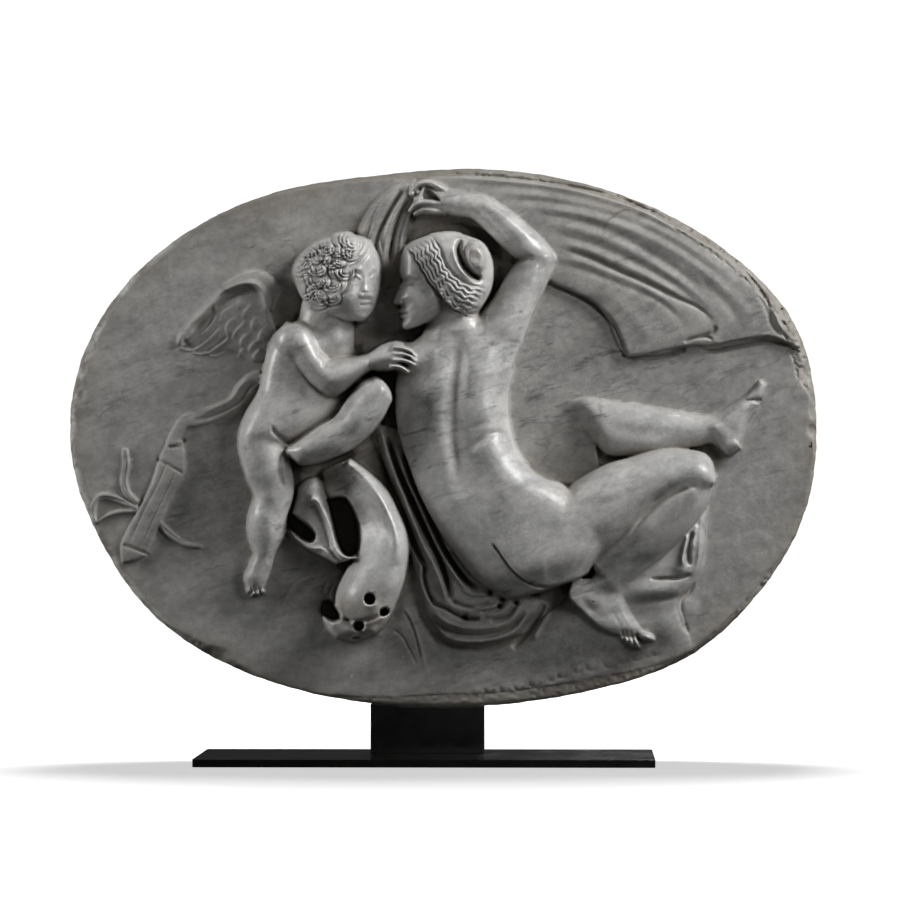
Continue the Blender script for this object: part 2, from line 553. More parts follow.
def wing(f):
    limb(f, [[220, 284, 232, 296, 4, -2], [248, 271, 250, 290, 9, 3], [268, 274, 262, 298, 9, 3],
             [282, 290, 272, 312, 8, 3]], k=2)
    limb(f, [[180, 334, 196, 352, 2, -2], [190, 324, 208, 354, 3, -2], [204, 308, 226, 350, 5, -1],
             [224, 292, 240, 354, 7, -1], [246, 284, 254, 362, 10, 0], [262, 290, 268, 356, 12, 2],
             [268, 306, 280, 340, 10, 2]], k=3, power=0.35)
    line(f, [(178, 346), (181, 336), (190, 324), (203, 311), (220, 293), (234, 285), (245, 282.5),
        (254, 283.5),
             (261, 289), (265, 298), (268, 311)], 3.0, 9, ends=(0.06, 0.12))
    line(f, [(190, 332), (202, 318), (214, 306), (228, 296), (240, 292), (250, 293)], 3.0, -4)
    long_edges = [[(180, 347), (190, 341), (202, 333), (210, 325), (215, 315)],
                  [(192, 351), (203, 344), (213, 335), (220, 327)], [(207, 354), (217, 347), (226, 340),
                  (228, 336)]]
    for edge in long_edges:
        lines(f, [(edge, 1.1, 2.0), ([(x - 2, y - 1.6) for x, y in edge], 1.0, -1.6)], ends=(0.1, 0.2))
    for tip in [[(178, 347), (186, 350), (193, 349)], [(191, 352), (199, 354), (208, 353)],
                [(207, 354), (215, 356), (226, 350)]]:
        line(f, tip, 1.1, 2.0)
    scales = [[(215, 313), (213.5, 305), (218, 300), (230, 294)], [(219.5, 323), (220.5, 314), (226, 309),
              (236, 304)],
              [(228, 337), (225.5, 328), (228, 321.5), (237, 317)], [(233, 340), (233, 334), (239, 327),
              (246, 320)],
              [(240, 347), (240.5, 340), (245, 335), (249, 333)], [(249, 352), (249.5, 347), (254, 342),
              (258, 340)],
              [(243, 319), (243.5, 312), (249, 306), (252, 303)], [(252, 330), (251.5, 323), (255, 318)],
              [(258, 342), (258.5, 335), (262, 330), (265, 328)], [(238, 309), (237, 303), (241, 298)],
              [(252, 360), (255, 353), (261, 349)], [(238, 357), (240, 351), (245, 348)]]
    for scale in scales:
        step(f, scale, 6, 2.6, ends=(0.25, 0.3), edge=0.6)
        line(f, scale, 0.9, 1.0, ends=(0.1, 0.2))


def child_trunk(f):
    limb(f, [[302, 300, 352, 310, 48, 18], [299, 316, 354, 326, 46, 18], [291, 332, 354, 346, 45, 16],
             [288, 350, 350, 366, 42, 14]], k=8)
    limb(f, [[286, 321, 344, 334, 42, 15], [272, 337, 356, 350, 52, 12], [264, 362, 356, 372, 52, 10],
             [258, 390, 354, 396, 51, 10], [245, 413, 344, 414, 55, 12], [239, 432, 318, 434, 57, 16],
             [238, 448, 292, 450, 48, 18]], k=6, lean=-0.20, power=0.6)
    # plain soft belly and back
    bumps(f, [(305, 404, 24, 22, 4), (326, 378, 16, 20, -6), (282, 382, 14, 18, -2),
              (262, 410, 12, 24, 2), (338, 340, 12, 9, 3), (262, 360, 10, 20, 2)])


def child_legs(f):
    limb(f, [[241, 428, 276, 430, 44, 18], [238, 446, 287, 447, 54, 20], [245, 474, 293, 476, 53, 20],
             [253, 495, 293, 497, 46, 18], [248, 517, 287, 517, 42, 16], [248, 536, 284, 536, 38, 14],
             [253, 553, 276, 553, 32, 12], [249, 566, 272, 568, 28, 10], [244, 577, 268, 580, 26, 9],
             [247, 589, 264, 590, 19, 7]], k=7, lean=-0.05, end=3)
    # groin, knee, ankle and toes
    line(f, [(271, 425), (273, 431), (279, 437), (287, 443)], 2.0, -3.5, ends=(0.3, 0))
    line(f, [(287, 443), (293, 440.5), (300, 436), (310, 430), (322, 421)], 1.8, -2.5, ends=(0, 0.4))
    bump(f, 268, 496, 8, 7, 2)
    lines(f, [
        ([(262, 510), (272, 540), (266, 556)], 6, 1.6),
        ([(281, 452), (280, 470), (283, 490)], 2.4, -3),
    ])
    bumps(f, [(252, 565, 3.5, 3.5, 1.8), (268, 564, 3, 3, 1.2)])
    for x, y in [(249, 590), (253, 593), (257, 593), (262, 591)]:
        ball(f, x, y, 3.0, 3.4, 20, 8)
    for x0, y0, x1, y1 in [(250, 587, 251, 594), (254, 587, 255, 595), (258, 587, 260, 594)]:
        line(f, [(x0, y0), (x1, y1)], 0.8, -1.8, ends=(0.3, 0))
    limb(f, [[289, 458, 289, 444, 52, 24], [300, 465, 302, 435, 64, 24], [319, 463, 318, 424, 69, 24],
             [341, 455, 333, 416, 73, 24], [361, 443, 343, 403, 75, 24], [380, 423, 357, 382, 77, 24],
             [391, 404, 370, 376, 75, 24]], start=5, end=9, k=3, power=0.42)
    bumps(f, [(376, 392, 12, 12, 2.5), (345, 434, 14, 8, -3, -30), (362, 418, 16, 12, 2, -60)])


def child_arm(f):
    limb(f, [[279, 336, 306, 323, 54, 22], [285, 351, 316, 336, 63, 24], [294, 366, 323, 350, 66, 24],
             [306, 382, 334, 360, 67, 24], [318, 392, 342, 366, 66, 24]], start=7, end=6, k=5)
    limb(f, [[310, 386, 328, 358, 64, 24], [330, 398, 340, 356.5, 68, 24], [348, 390, 352, 356, 69, 24],
             [368, 373, 367, 353, 69, 26], [380, 372, 381, 344, 71, 28], [392, 371, 394, 340, 72, 30],
             [402, 366, 402, 341, 70, 30]], start=4, end=3, k=6)
    ball(f, 294, 340, 19, 18, 62, 40, k=12)
    # the crease of the elbow and the fold at the wrist
    lines(f, [
        ([(331, 358), (326, 362), (323, 368)], 2.0, -3.5),
        ([(367, 354), (369, 362), (368, 372)], 2.2, -1.8),
    ])
    bump(f, 300, 356, 9, 10, -2)
    # four fingers laid on her shoulder, and the edge of the hand
    fingers = [[(392, 347), (402, 348), (410, 351), (414, 355)], [(392, 353), (402, 353.5), (410, 356),
               (414, 360)],
               [(391, 360), (401, 359.5), (409, 361.5), (413, 364)], [(389, 366), (397, 366), (403, 368),
               (407, 371)]]
    for i, path in enumerate(fingers):
        ribbon(f, [(x, y, 5.6 - 0.5 * j, 74 - 2.5 * j - 0.8 * i) for j, (x, y) in enumerate(path)],
               end=2.2, power=0.5, side=9)
    for path in [[(394, 350.5), (403, 350.8), (412, 354)], [(393, 356.8), (402, 356.5), (411, 359)],
                 [(391, 363.2), (400, 363), (409, 366)]]:
        line(f, path, 1.0, -4.5, ends=(0.3, 0.1))


def child_face(f, x, top, size):
    """A plain round child's face, three quarters to the right; size is from brow to chin."""
    middle = x + 0.12 * size
    brow, nose, mouth = top + 0.16 * size, top + 0.60 * size, top + 0.76 * size
    bump(f, middle - 0.04 * size, top - 0.02 * size, 0.30 * size, 0.16 * size, 2.5)
    bump(f, middle - 0.26 * size, nose + 0.02 * size, 0.17 * size, 0.17 * size, 5)
    bump(f, middle + 0.10 * size, nose + 0.04 * size, 0.10 * size, 0.12 * size, 2)
    for side, across in ((-0.19, 0.13), (0.13, 0.08)):
        eye = middle + side * size
        bump(f, eye, brow + 0.17 * size, across * size * 1.2, 0.09 * size, -4.5)
        bump(f, eye, brow + 0.18 * size, across * size * 0.65, 0.06 * size, 4)
        reach = across * size * 0.95
        line(f, [(eye - reach, brow + 0.20 * size), (eye, brow + 0.11 * size), (eye + reach,
            brow + 0.19 * size)],
             1.0, 2.4)
        line(f, [(eye - reach, brow + 0.20 * size), (eye, brow + 0.26 * size), (eye + reach,
            brow + 0.20 * size)],
             0.9, 1.2)
        line(f, [(eye - reach * 1.2, brow + 0.07 * size), (eye, brow), (eye + reach * 1.2,
            brow + 0.04 * size)],
             2.0, 1.6)
    line(f, [(middle - 0.01 * size, brow + 0.04 * size), (middle, nose - 0.06 * size)], 0.085 * size, 4.0,
         ends=(0.5, 0.05))
    bump(f, middle, nose - 0.03 * size, 0.09 * size, 0.08 * size, 4.5)
    for side in (-1, 1):
        bump(f, middle + side * 0.085 * size, nose, 0.045 * size, 0.04 * size, 3)
    bump(f, middle, nose + 0.065 * size, 0.07 * size, 0.025 * size, -1.8)
    line(f, [(middle - 0.13 * size, mouth), (middle, mouth - 0.015 * size), (middle + 0.12 * size,
        mouth)], 1.1, -2.4)
    bump(f, middle, mouth - 0.045 * size, 0.09 * size, 0.045 * size, 1.8)
    bump(f, middle, mouth + 0.055 * size, 0.08 * size, 0.05 * size, 2.2)
    bump(f, middle, mouth + 0.12 * size, 0.08 * size, 0.03 * size, -1.5)
    bump(f, middle - 0.01 * size, mouth + 0.20 * size, 0.12 * size, 0.09 * size, 5)


def lock(f, x, y, r, facing, height, mask):
    """A comma of hair: nested arcs bowed towards one side, on a small swelling."""
    bump(f, x, y, r * 0.9, r * 0.9, height * 0.5, mask=mask)
    for share, span in ((1.0, 110), (0.66, 120), (0.32, 130)):
        arc = []
        for k in range(7):
            turn = math.radians(facing - span + 2 * span * k / 6)
            tail = 1 + 0.25 * (k - 3) / 3
            arc.append((x + r * share * tail * math.cos(turn), y + r * share * tail * math.sin(turn)))
        line(f, arc, 1.0, height, ends=(0.2, 0.3), mask=mask)
        outer = [(x + (px - x) * 1.3, y + (py - y) * 1.3) for px, py in arc]
        line(f, outer, 0.9, -height, ends=(0.2, 0.3), mask=mask)


def child_head(f):
    limb(f, [[330, 236, 352, 233, 50, 24], [311, 244, 369, 240, 60, 26], [298, 257, 377, 254, 66, 26],
             [293, 270, 380, 270, 68, 26], [296, 284, 380, 286, 68, 26], [302, 298, 377, 300, 66, 26],
             [314, 309, 372, 312, 60, 24], [334, 317, 364, 321, 50, 22]], start=3, end=2, k=3)
    child_face(f, 359, 258, 62)
    # the edge of the hair over brow and cheek
    edge = [(371, 241), (367, 252), (360, 261), (351, 268), (348, 278), (345, 288), (338, 296), (331, 303)]
    line(f, edge, 2.2, -3, ends=(0.1, 0.1))
    line(f, [(x - 4, y - 2) for x, y in edge], 2.6, 3, ends=(0.1, 0.1))
    rows = [[(318, 239), (364, 246)], [(305, 248), (359, 255)], [(297, 259), (352, 264)], [(294, 270),
            (349, 274)],
            [(295, 282), (342, 286)], [(299, 293), (336, 296)], [(307, 303), (328, 305)]]
    rng = np.random.default_rng(21)
    head = np.clip((f.h - 34) / 6, 0, 1)
    for i, ((x0, y0), (x1, y1)) in enumerate(rows):
        count = int((x1 - x0) / 9.5) + 1
        for j in range(count):
            share = (j + 0.5 * (i % 2)) / count
            x = x0 + (x1 - x0) * share + rng.uniform(-2.6, 2.6)
            y = y0 + (y1 - y0) * share - 3.0 * math.sin(math.pi * share) + rng.uniform(-2.4, 2.4)
            lock(f, x, y, rng.uniform(5.4, 8.2), 190 - 100 * share + rng.uniform(-85, 85), 3.8, head)


# The seated woman

def far_leg(f):
    limb(f, [[516, 446, 530, 480, -5, -9], [540, 424, 556, 480, 3, -6], [560, 408, 578, 478, 9, -2],
             [577, 403, 593, 474, 12, 1], [590, 410, 599, 468, 12, 4]], k=4, end=1, power=0.6)
    limb(f, [[552, 408, 562, 436, -6, -9], [564, 402, 578, 438, 6, -5], [578, 398.5, 592, 442, 19, 1],
             [592, 398.5, 601, 450, 29, 7],
             [610, 401, 611, 456, 33, 10], [636, 404, 636, 457, 34, 10], [662, 408.5, 664, 454.5, 32, 10],
             [694, 414, 696, 447.5, 28, 9], [710, 414.5, 712, 444, 25, 9], [720, 412, 727, 454, 27, 9],
             [731, 405, 738, 449, 26, 9], [742, 398, 747, 424, 22, 8], [750, 392, 756, 410, 19, 7]],
         end=3, k=7, power=0.55)
    limb(f, [[714, 436, 724, 453, 20, 8], [722, 438, 730, 455.5, 24, 8], [732, 438, 740, 449, 25, 9]],
        end=3, k=7)
    limb(f, [[746, 396, 752, 404, 20, 8], [754, 388, 761, 398, 20, 9], [758, 382, 765, 388, 19, 9]],
         start=2, end=3, k=3)
    ball(f, 754, 404, 4.5, 4, 19, 6, turn=20)
    ball(f, 750, 411, 4, 3.5, 15, 5, turn=20)
    line(f, [(746, 401), (752, 400), (760, 400)], 1.1, -4, ends=(0.4, 0))
    # knee, shin, ankle and arch
    bump(f, 586, 405, 10, 8, 4)
    lines(f, [
        ([(600, 405), (640, 409), (680, 416), (705, 418)], 4, 1.6),
        ([(604, 424), (640, 432), (680, 436)], 7, -1.5),
    ])
    bumps(f, [(640, 444, 26, 8, 2.5), (715, 427, 5, 5, 3), (733, 432, 8, 7, -2.5, 40)])
    lines(f, [
        ([(722, 421), (734, 412), (746, 402)], 2.6, 1.8),
        ([(597, 432), (598, 444), (600, 458)], 2.2, -3),
    ])


def trunk(f):
    limb(f, [[434, 300, 476, 302, 54, 24], [427, 322, 482, 318, 56, 24], [419, 342, 492, 336, 56, 24],
             [422, 364, 498, 360, 52, 24]], k=4)
    limb(f, [[428, 328, 482, 318, 46, 20], [404, 350, 512, 336, 60, 22], [397, 372, 514, 366, 66, 24],
             [394, 396, 509, 392, 68, 24], [397, 426, 510, 420, 70, 26], [406, 458, 518, 450, 73, 28],
             [419, 494, 540, 476, 79, 30], [436, 526, 562, 484, 85, 30], [457, 556, 590, 505, 88, 30],
             [478, 581, 606, 540, 86, 26], [504, 598, 590, 572, 66, 20]], end=5, k=12, lean=0.10, power=0.45)
    # near shoulder under the child's hand, the slope of the neck
    limb(f, [[396, 372, 398, 341, 52, 22], [412, 378, 414, 341, 58, 24], [432, 380, 436, 334, 58, 24]],
         start=4, end=6, k=6)
    line(f, [(436, 318), (440, 334), (438, 348), (426, 356)], 6, 1.5)
    # spine, shoulder blades and loins
    line(f, [(459, 330), (458, 360), (455, 386), (454, 412), (455, 440), (458, 470), (462, 500)], 9, -6.5,
         ends=(0.15, 0.25))
    line(f, [(438, 350), (437, 380), (437, 412), (440, 445), (446, 480)], 9, 2.4, ends=(0.2, 0.25))
    line(f, [(480, 346), (482, 384), (486, 420), (492, 448), (501, 472), (520, 496), (546, 515),
        (575, 530)], 15, 6,
         ends=(0.1, 0.3))
    bumps(f, [(428, 450, 26, 80, -5), (492, 358, 18, 24, 2.0, -15), (420, 376, 17, 24, 2.6, 8)])
    line(f, [(404, 398), (416, 404), (432, 402)], 8, -1.0)
    bump(f, 474, 480, 18, 30, -7.5, turn=-18)
    line(f, [(452, 334), (462, 328), (474, 322)], 4, 1.5)
    # folds of the bent waist
    line(f, [(472, 430), (480, 424.5), (491, 421.5)], 2.0, -1.0)
    line(f, [(466, 451), (474, 446), (483, 439), (491, 434), (499, 432.5), (505, 437),
        (509, 444)], 3.4, -3.6,
         ends=(0.4, 0.25))
    line(f, [(474, 458), (486, 449), (497, 446), (506, 454)], 8, 2.0)
    bump(f, 496, 416, 13, 13, 1.8)
    # hip, loins and seat
    bumps(f, [(468, 505, 14, 14, -2), (442, 505, 14, 14, -1), (524, 476, 26, 14, 3, 38),
              (545, 540, 34, 30, 3), (476, 548, 18, 26, 2.5, -30)])
    fold = [(492, 544), (498, 551), (505, 561), (514, 572), (524, 580), (536, 585.5), (547, 587.5),
            (556, 585)]
    line(f, fold, 1.4, -9, ends=(0.06, 0.15))
    step(f, fold, 14, 5, ends=(0.3, 0.2), side=-1)


def near_leg(f):
    limb(f, [[536, 584, 564, 490, 78, 24], [560, 584, 584, 476, 86, 25], [590, 563, 606, 464, 84, 25],
             [614, 547, 630, 457, 81, 25], [638, 524, 652, 451, 79, 25], [658, 505, 676, 448.5, 77, 25],
             [686, 498, 702, 452, 75, 25], [703, 494, 712, 461, 71, 25],
             [711, 488, 715, 473, 62, 25]], start=12, end=3, k=12, power=0.5)
    limb(f, [[676, 478, 711, 464, 64, 25], [668, 498, 715, 481, 70, 25], [650, 511, 707, 505, 67, 24],
             [636, 528, 690, 530, 61, 22], [620, 544, 668, 553, 55, 20], [603, 560, 650, 567, 48, 18],
             [588, 580, 632, 582, 43, 16], [575, 596, 624, 597, 33, 12]], start=5, end=9, k=7)
    limb(f, [[578, 578, 622, 580, 34, 12], [575, 597, 626, 598, 40, 13], [588, 612, 632, 614, 35, 12],
             [603, 626, 640, 626, 31, 10], [616, 634, 645, 632, 24, 8]], k=6, end=3, lean=-0.5, power=0.35)
    # flesh that fills the corner between thigh and calf
    limb(f, [[590, 552, 612, 582, 46, 20], [606, 535, 634, 566, 57, 22], [624, 514, 655, 547, 66, 24],
             [642, 497, 672, 529, 69, 26], [660, 480, 692, 512, 71, 28], [672, 473, 702, 503, 69, 30]],
         start=8, end=9, k=9, power=0.8)
    # the sharp fold behind the knee
    line(f, [(630, 534), (640, 521.5), (650, 511.5), (660, 503.5), (670, 497), (680, 491.5),
        (688, 488.5)], 1.6, -5,
         ends=(0.3, 0.1))
    line(f, [(686, 489), (692, 487), (697, 487)], 1.6, -1.8, ends=(0.2, 0.5))
    # kneecap, muscles and shin
    bump(f, 694, 466, 13, 9, 1.5, turn=10)
    lines(f, [
        ([(560, 500), (600, 486), (640, 474), (676, 468)], 12, 1.6),
        ([(596, 530), (620, 512), (646, 495), (668, 487)], 9, 1.6),
        ([(700, 492), (686, 520), (664, 545), (640, 566), (622, 584)], 7, 1.6),
    ])
    bump(f, 652, 528, 14, 24, 2.4, turn=45)
    # ankle, heel and instep
    bumps(f, [(592, 586, 7, 6, 2), (616, 588, 6, 5, 1.5)])
    line(f, [(612, 592), (619, 606), (626, 620), (634, 630)], 5, 1.2)
    bump(f, 588, 606, 12, 5, -3, turn=42)
    for x0, y0, x1, y1 in [(612, 610, 622, 628), (616, 606, 628, 628), (621, 604, 633, 627)]:
        line(f, [(x0, y0), (x1, y1)], 1.8, -0.6)
    # toes
    for x, y, rx, ry, turn, crown in [(622, 637, 3.0, 5.4, -38, 22), (627, 639.5, 3.1, 6.4, -34, 23),
                                      (631.5, 641.5, 3.2, 7.2, -30, 24), (636.5, 642.5, 3.3, 7.8, -28, 25)]:
        ball(f, x, y, rx, ry, crown, 8, turn=turn, k=1.2)
    ball(f, 646, 636.5, 9.5, 4.8, 27, 8, turn=20, k=1.5)
    for x0, y0, x1, y1 in [(621, 629, 624, 640), (625, 629, 629, 643), (630, 630, 634, 645),
                           (636, 631, 640, 644)]:
        line(f, [(x0, y0), (x1, y1)], 0.9, -2.5, ends=(0.3, 0))


def raised_arm(f):
    limb(f, [[456, 350, 502, 392, 46, 20], [466, 330, 517, 356, 57, 20], [480, 312, 527, 330, 59, 20],
             [492, 298, 536, 307, 55, 20], [502, 282, 546, 286, 51, 20], [512, 267, 553, 270, 48, 19],
             [524, 253, 556, 258, 44, 18]], end=5, k=9)
    limb(f, [[529, 268, 556, 258, 42, 18], [516, 259, 546, 243, 44, 18], [498, 243, 524, 222, 44, 18],
             [482, 227, 502, 205, 42, 17], [470, 218, 484, 194.5, 39, 16], [455, 216, 463, 191, 36, 15],
             [443, 213, 447, 188, 34, 14]], start=5, end=3, k=4)
    # muscles of the forearm, the point of the elbow, the armpit
    lines(f, [
        ([(474, 206), (488, 214), (504, 230), (520, 248)], 4.5, -2),
        ([(480, 201), (498, 210), (516, 225), (534, 243)], 5.0, 1.6),
        ([(478, 215), (492, 228), (508, 246)], 4.0, 1.0),
    ])
    bump(f, 546, 256, 8, 7, 3)
    lines(f, [
        ([(512, 262), (524, 258), (534, 258)], 2.5, -3),
        ([(500, 300), (492, 312), (486, 326), (480, 340)], 4, -1.8),
        ([(536, 276), (530, 300), (520, 326)], 5, 1.6),
    ])
    # the back of the hand, and the fingers closed on the knotted cloth
    limb(f, [[452, 213, 458, 190, 34, 14], [438, 214, 444, 187, 34, 14], [426, 214, 430, 184, 32, 12],
             [415, 213, 417, 187, 28, 11]], end=3, k=4)
    cut(f, [(424, 190), (429, 190), (440, 199.5), (433, 200), (424, 199)], 20, soft=0.8)
    fingers = [[(448, 192, 8, 26), (438, 186, 8, 34), (428, 182, 7.5, 34), (418, 184, 7, 32),
               (411, 190, 6, 29)],
               [(448, 205, 8, 26), (436, 203, 7.5, 35), (424, 202, 7, 36), (415, 204, 6, 34),
               (410, 210, 5, 30)],
               [(446, 211, 8, 25), (434, 210, 7.5, 33), (423, 209, 7, 33), (415, 213, 5.5, 30)],
               [(424, 186, 5, 30), (421, 193, 5, 32), (418, 199, 5, 33)]]
    for path in fingers:
        ribbon(f, path, end=2.5, power=0.5, side=14)
    for x, y, rx, ry, turn in [(413, 187, 4, 4.5, 0), (417, 191, 3.5, 4, 30), (412, 193, 3, 3.5, 0)]:
        ball(f, x, y, rx, ry, 31, 18, turn=turn, k=1)
    lines(f, [
        ([(409, 192), (412, 187), (416, 184)], 0.9, -4),
        ([(414, 195), (417, 190), (420, 188)], 0.9, -4),
    ])


def woman_profile(x, top, size):
    """Outline of a plain classical profile facing left; size is from the hairline to the chin."""
    shares = [(0.00, -0.06), (0.03, 0.06), (0.045, 0.18), (0.045, 0.29), (0.025, 0.37), (0.06, 0.46),
              (0.10, 0.55),
              (0.135, 0.63), (0.12, 0.67), (0.05, 0.685), (0.045, 0.73), (0.07, 0.77), (0.04, 0.795),
               (0.06, 0.83),
              (0.025, 0.87), (0.035, 0.93), (0.015, 0.985), (-0.06, 1.0), (-0.18, 0.97), (-0.34, 0.90),
               (-0.48, 0.78),
              (-0.56, 0.5), (-0.52, 0.1), (-0.25, -0.12)]
    return [(x - out * size, top + down * size) for out, down in shares]


def woman_head(f):
    x, top, size = 404, 252, 77
    mass(f, woman_profile(x, top, size), 63, 32, 17, k=3)
    # socket, eyelids, nostril, mouth, cheek and jaw of the plain profile
    eye_x, eye_y = x + 0.07 * size, top + 0.41 * size
    bump(f, eye_x, eye_y - 1, 0.10 * size, 0.055 * size, -5)
    ball(f, eye_x + 1, eye_y, 0.065 * size, 0.04 * size, 60, 50, k=1)
    line(f, [(eye_x - 4, eye_y + 1), (eye_x + 1, eye_y - 3), (eye_x + 7, eye_y + 1)], 1.0, 2.4)
    line(f, [(eye_x - 4, eye_y + 2), (eye_x + 1, eye_y + 3.6), (eye_x + 7, eye_y + 2)], 0.9, 1.4)
    line(f, [(x - 1, eye_y - 7), (eye_x, eye_y - 9), (eye_x + 9, eye_y - 6)], 2.2, 2.0)
    ball(f, x - 0.045 * size, top + 0.64 * size, 0.05 * size, 0.04 * size, 56, 44, k=2)
    line(f, [(x - 0.06 * size, top + 0.795 * size), (x, top + 0.79 * size), (x + 0.05 * size,
        top + 0.80 * size)],
         1.0, -4)
    bump(f, x - 0.02 * size, top + 0.765 * size, 0.05 * size, 0.025 * size, 2)
    bump(f, x - 0.01 * size, top + 0.825 * size, 0.05 * size, 0.028 * size, 2)
    bump(f, x + 0.03 * size, top + 0.94 * size, 0.08 * size, 0.05 * size, 3)
    bump(f, x + 0.20 * size, top + 0.60 * size, 0.13 * size, 0.14 * size, 3.5)
    bump(f, x + 0.30 * size, top + 0.82 * size, 0.16 * size, 0.07 * size, -2, turn=-30)
    # skull and cap of hair
    limb(f, [[428, 235, 462, 233, 60, 30], [412, 241, 482, 241, 69, 30], [404, 249, 491, 254, 74, 30],
             [411, 262, 494, 270, 76, 30], [423, 280, 492, 288, 75, 30], [434, 298, 485, 303, 69, 30],
             [446, 312, 476, 317, 58, 26]], start=3, k=2)
    # the smooth net behind the waves, its seam and the deep groove round the broken knot
    line(f, [(452, 246), (456, 260), (463, 272), (474, 281)], 2.0, 2.5)
    groove = [(461, 239), (458, 248), (460, 258), (465, 267), (472, 274), (480, 279)]
    line(f, groove, 2.6, -15, ends=(0.2, 0.1))
    bump(f, 476, 277, 6, 4, -8, turn=30)
    ball(f, 475, 257, 10.5, 17, 84, 58, turn=-14, k=1.5)
    cut(f, [(466, 248), (469, 242), (475, 242), (482, 250), (486, 262), (484, 270), (477, 268),
        (470, 260)], 79, soft=1.2)
    for x1, y1, r, rise in [(472, 250, 3, 1.2), (478, 258, 4, -1.4), (474, 262, 3, 1.0), (481, 266, 3, 1.2),
                            (477, 247, 2.5, -1.0)]:
        bump(f, x1, y1, r, r * 0.8, rise)
    # the waved roll round the face
    inner = [(410, 247), (414, 257), (421, 269), (428, 281), (436, 292), (446, 303), (458, 312),
        (470, 314), (478, 309)]
    outer = [(429, 235), (437, 242), (441, 253), (445, 264), (451, 272), (459, 279), (468, 284),
        (478, 287), (487, 289)]
    middle = [((a[0] + b[0]) / 2, (a[1] + b[1]) / 2) for a, b in zip(inner, outer)]
    line(f, middle, 9, 6, ends=(0.1, 0.1), sharp=3)
    line(f, outer, 1.3, -5, ends=(0.05, 0.2))
    strands(f, inner, outer, 6, 1.5, 12, 1.4, 2.6, ends=(0.03, 0.06), shift=0.35)
    # the grooves between them run half a strand further in
    half = 1 / 12
    inner_groove = [(p[0] - (q[0] - p[0]) * half, p[1] - (q[1] - p[1]) * half) for p, q in zip(inner, outer)]
    outer_groove = [(q[0] - (q[0] - p[0]) * half, q[1] - (q[1] - p[1]) * half) for p, q in zip(inner, outer)]
    strands(f, inner_groove, outer_groove, 6, 1.5, 12, 0.9, -4.0, ends=(0.03, 0.06), shift=0.35)
    line(f, [(x0 + 0.6, y0 - 0.4) for x0, y0 in inner], 1.5, -4, ends=(0.1, 0.1))
    # strands combed up from the nape
    strands(f, [(484, 288), (484, 300), (478, 314)], [(494, 276), (492, 292),
        (484, 308)], 3, 0.5, 16, 1.0, 2)
    strands(f, [(446, 308), (456, 315), (468, 317)], [(452, 300), (462, 306),
        (474, 306)], 3, 0.8, 12, 1.0, 2.4)
    line(f, [(404, 250), (410, 240), (420, 236), (430, 235)], 2, 1.5)
    strands(f, [(404, 256), (410, 252), (416, 250)], [(410, 242), (416, 240),
        (422, 240)], 4, 0.6, 9, 0.9, 1.8)


# The dolphin

def oval(x, y, rx, ry, turn):
    """Eight points of an oval, its long axis turned by an angle in degrees."""
    c, s = math.cos(math.radians(turn)), math.sin(math.radians(turn))
    return [(x + rx * math.cos(a) * c - ry * math.sin(a) * s, y + rx * math.cos(a) * s + ry * math.sin(a) * c)
            for a in np.linspace(0, 2 * math.pi, 9)[:-1]]


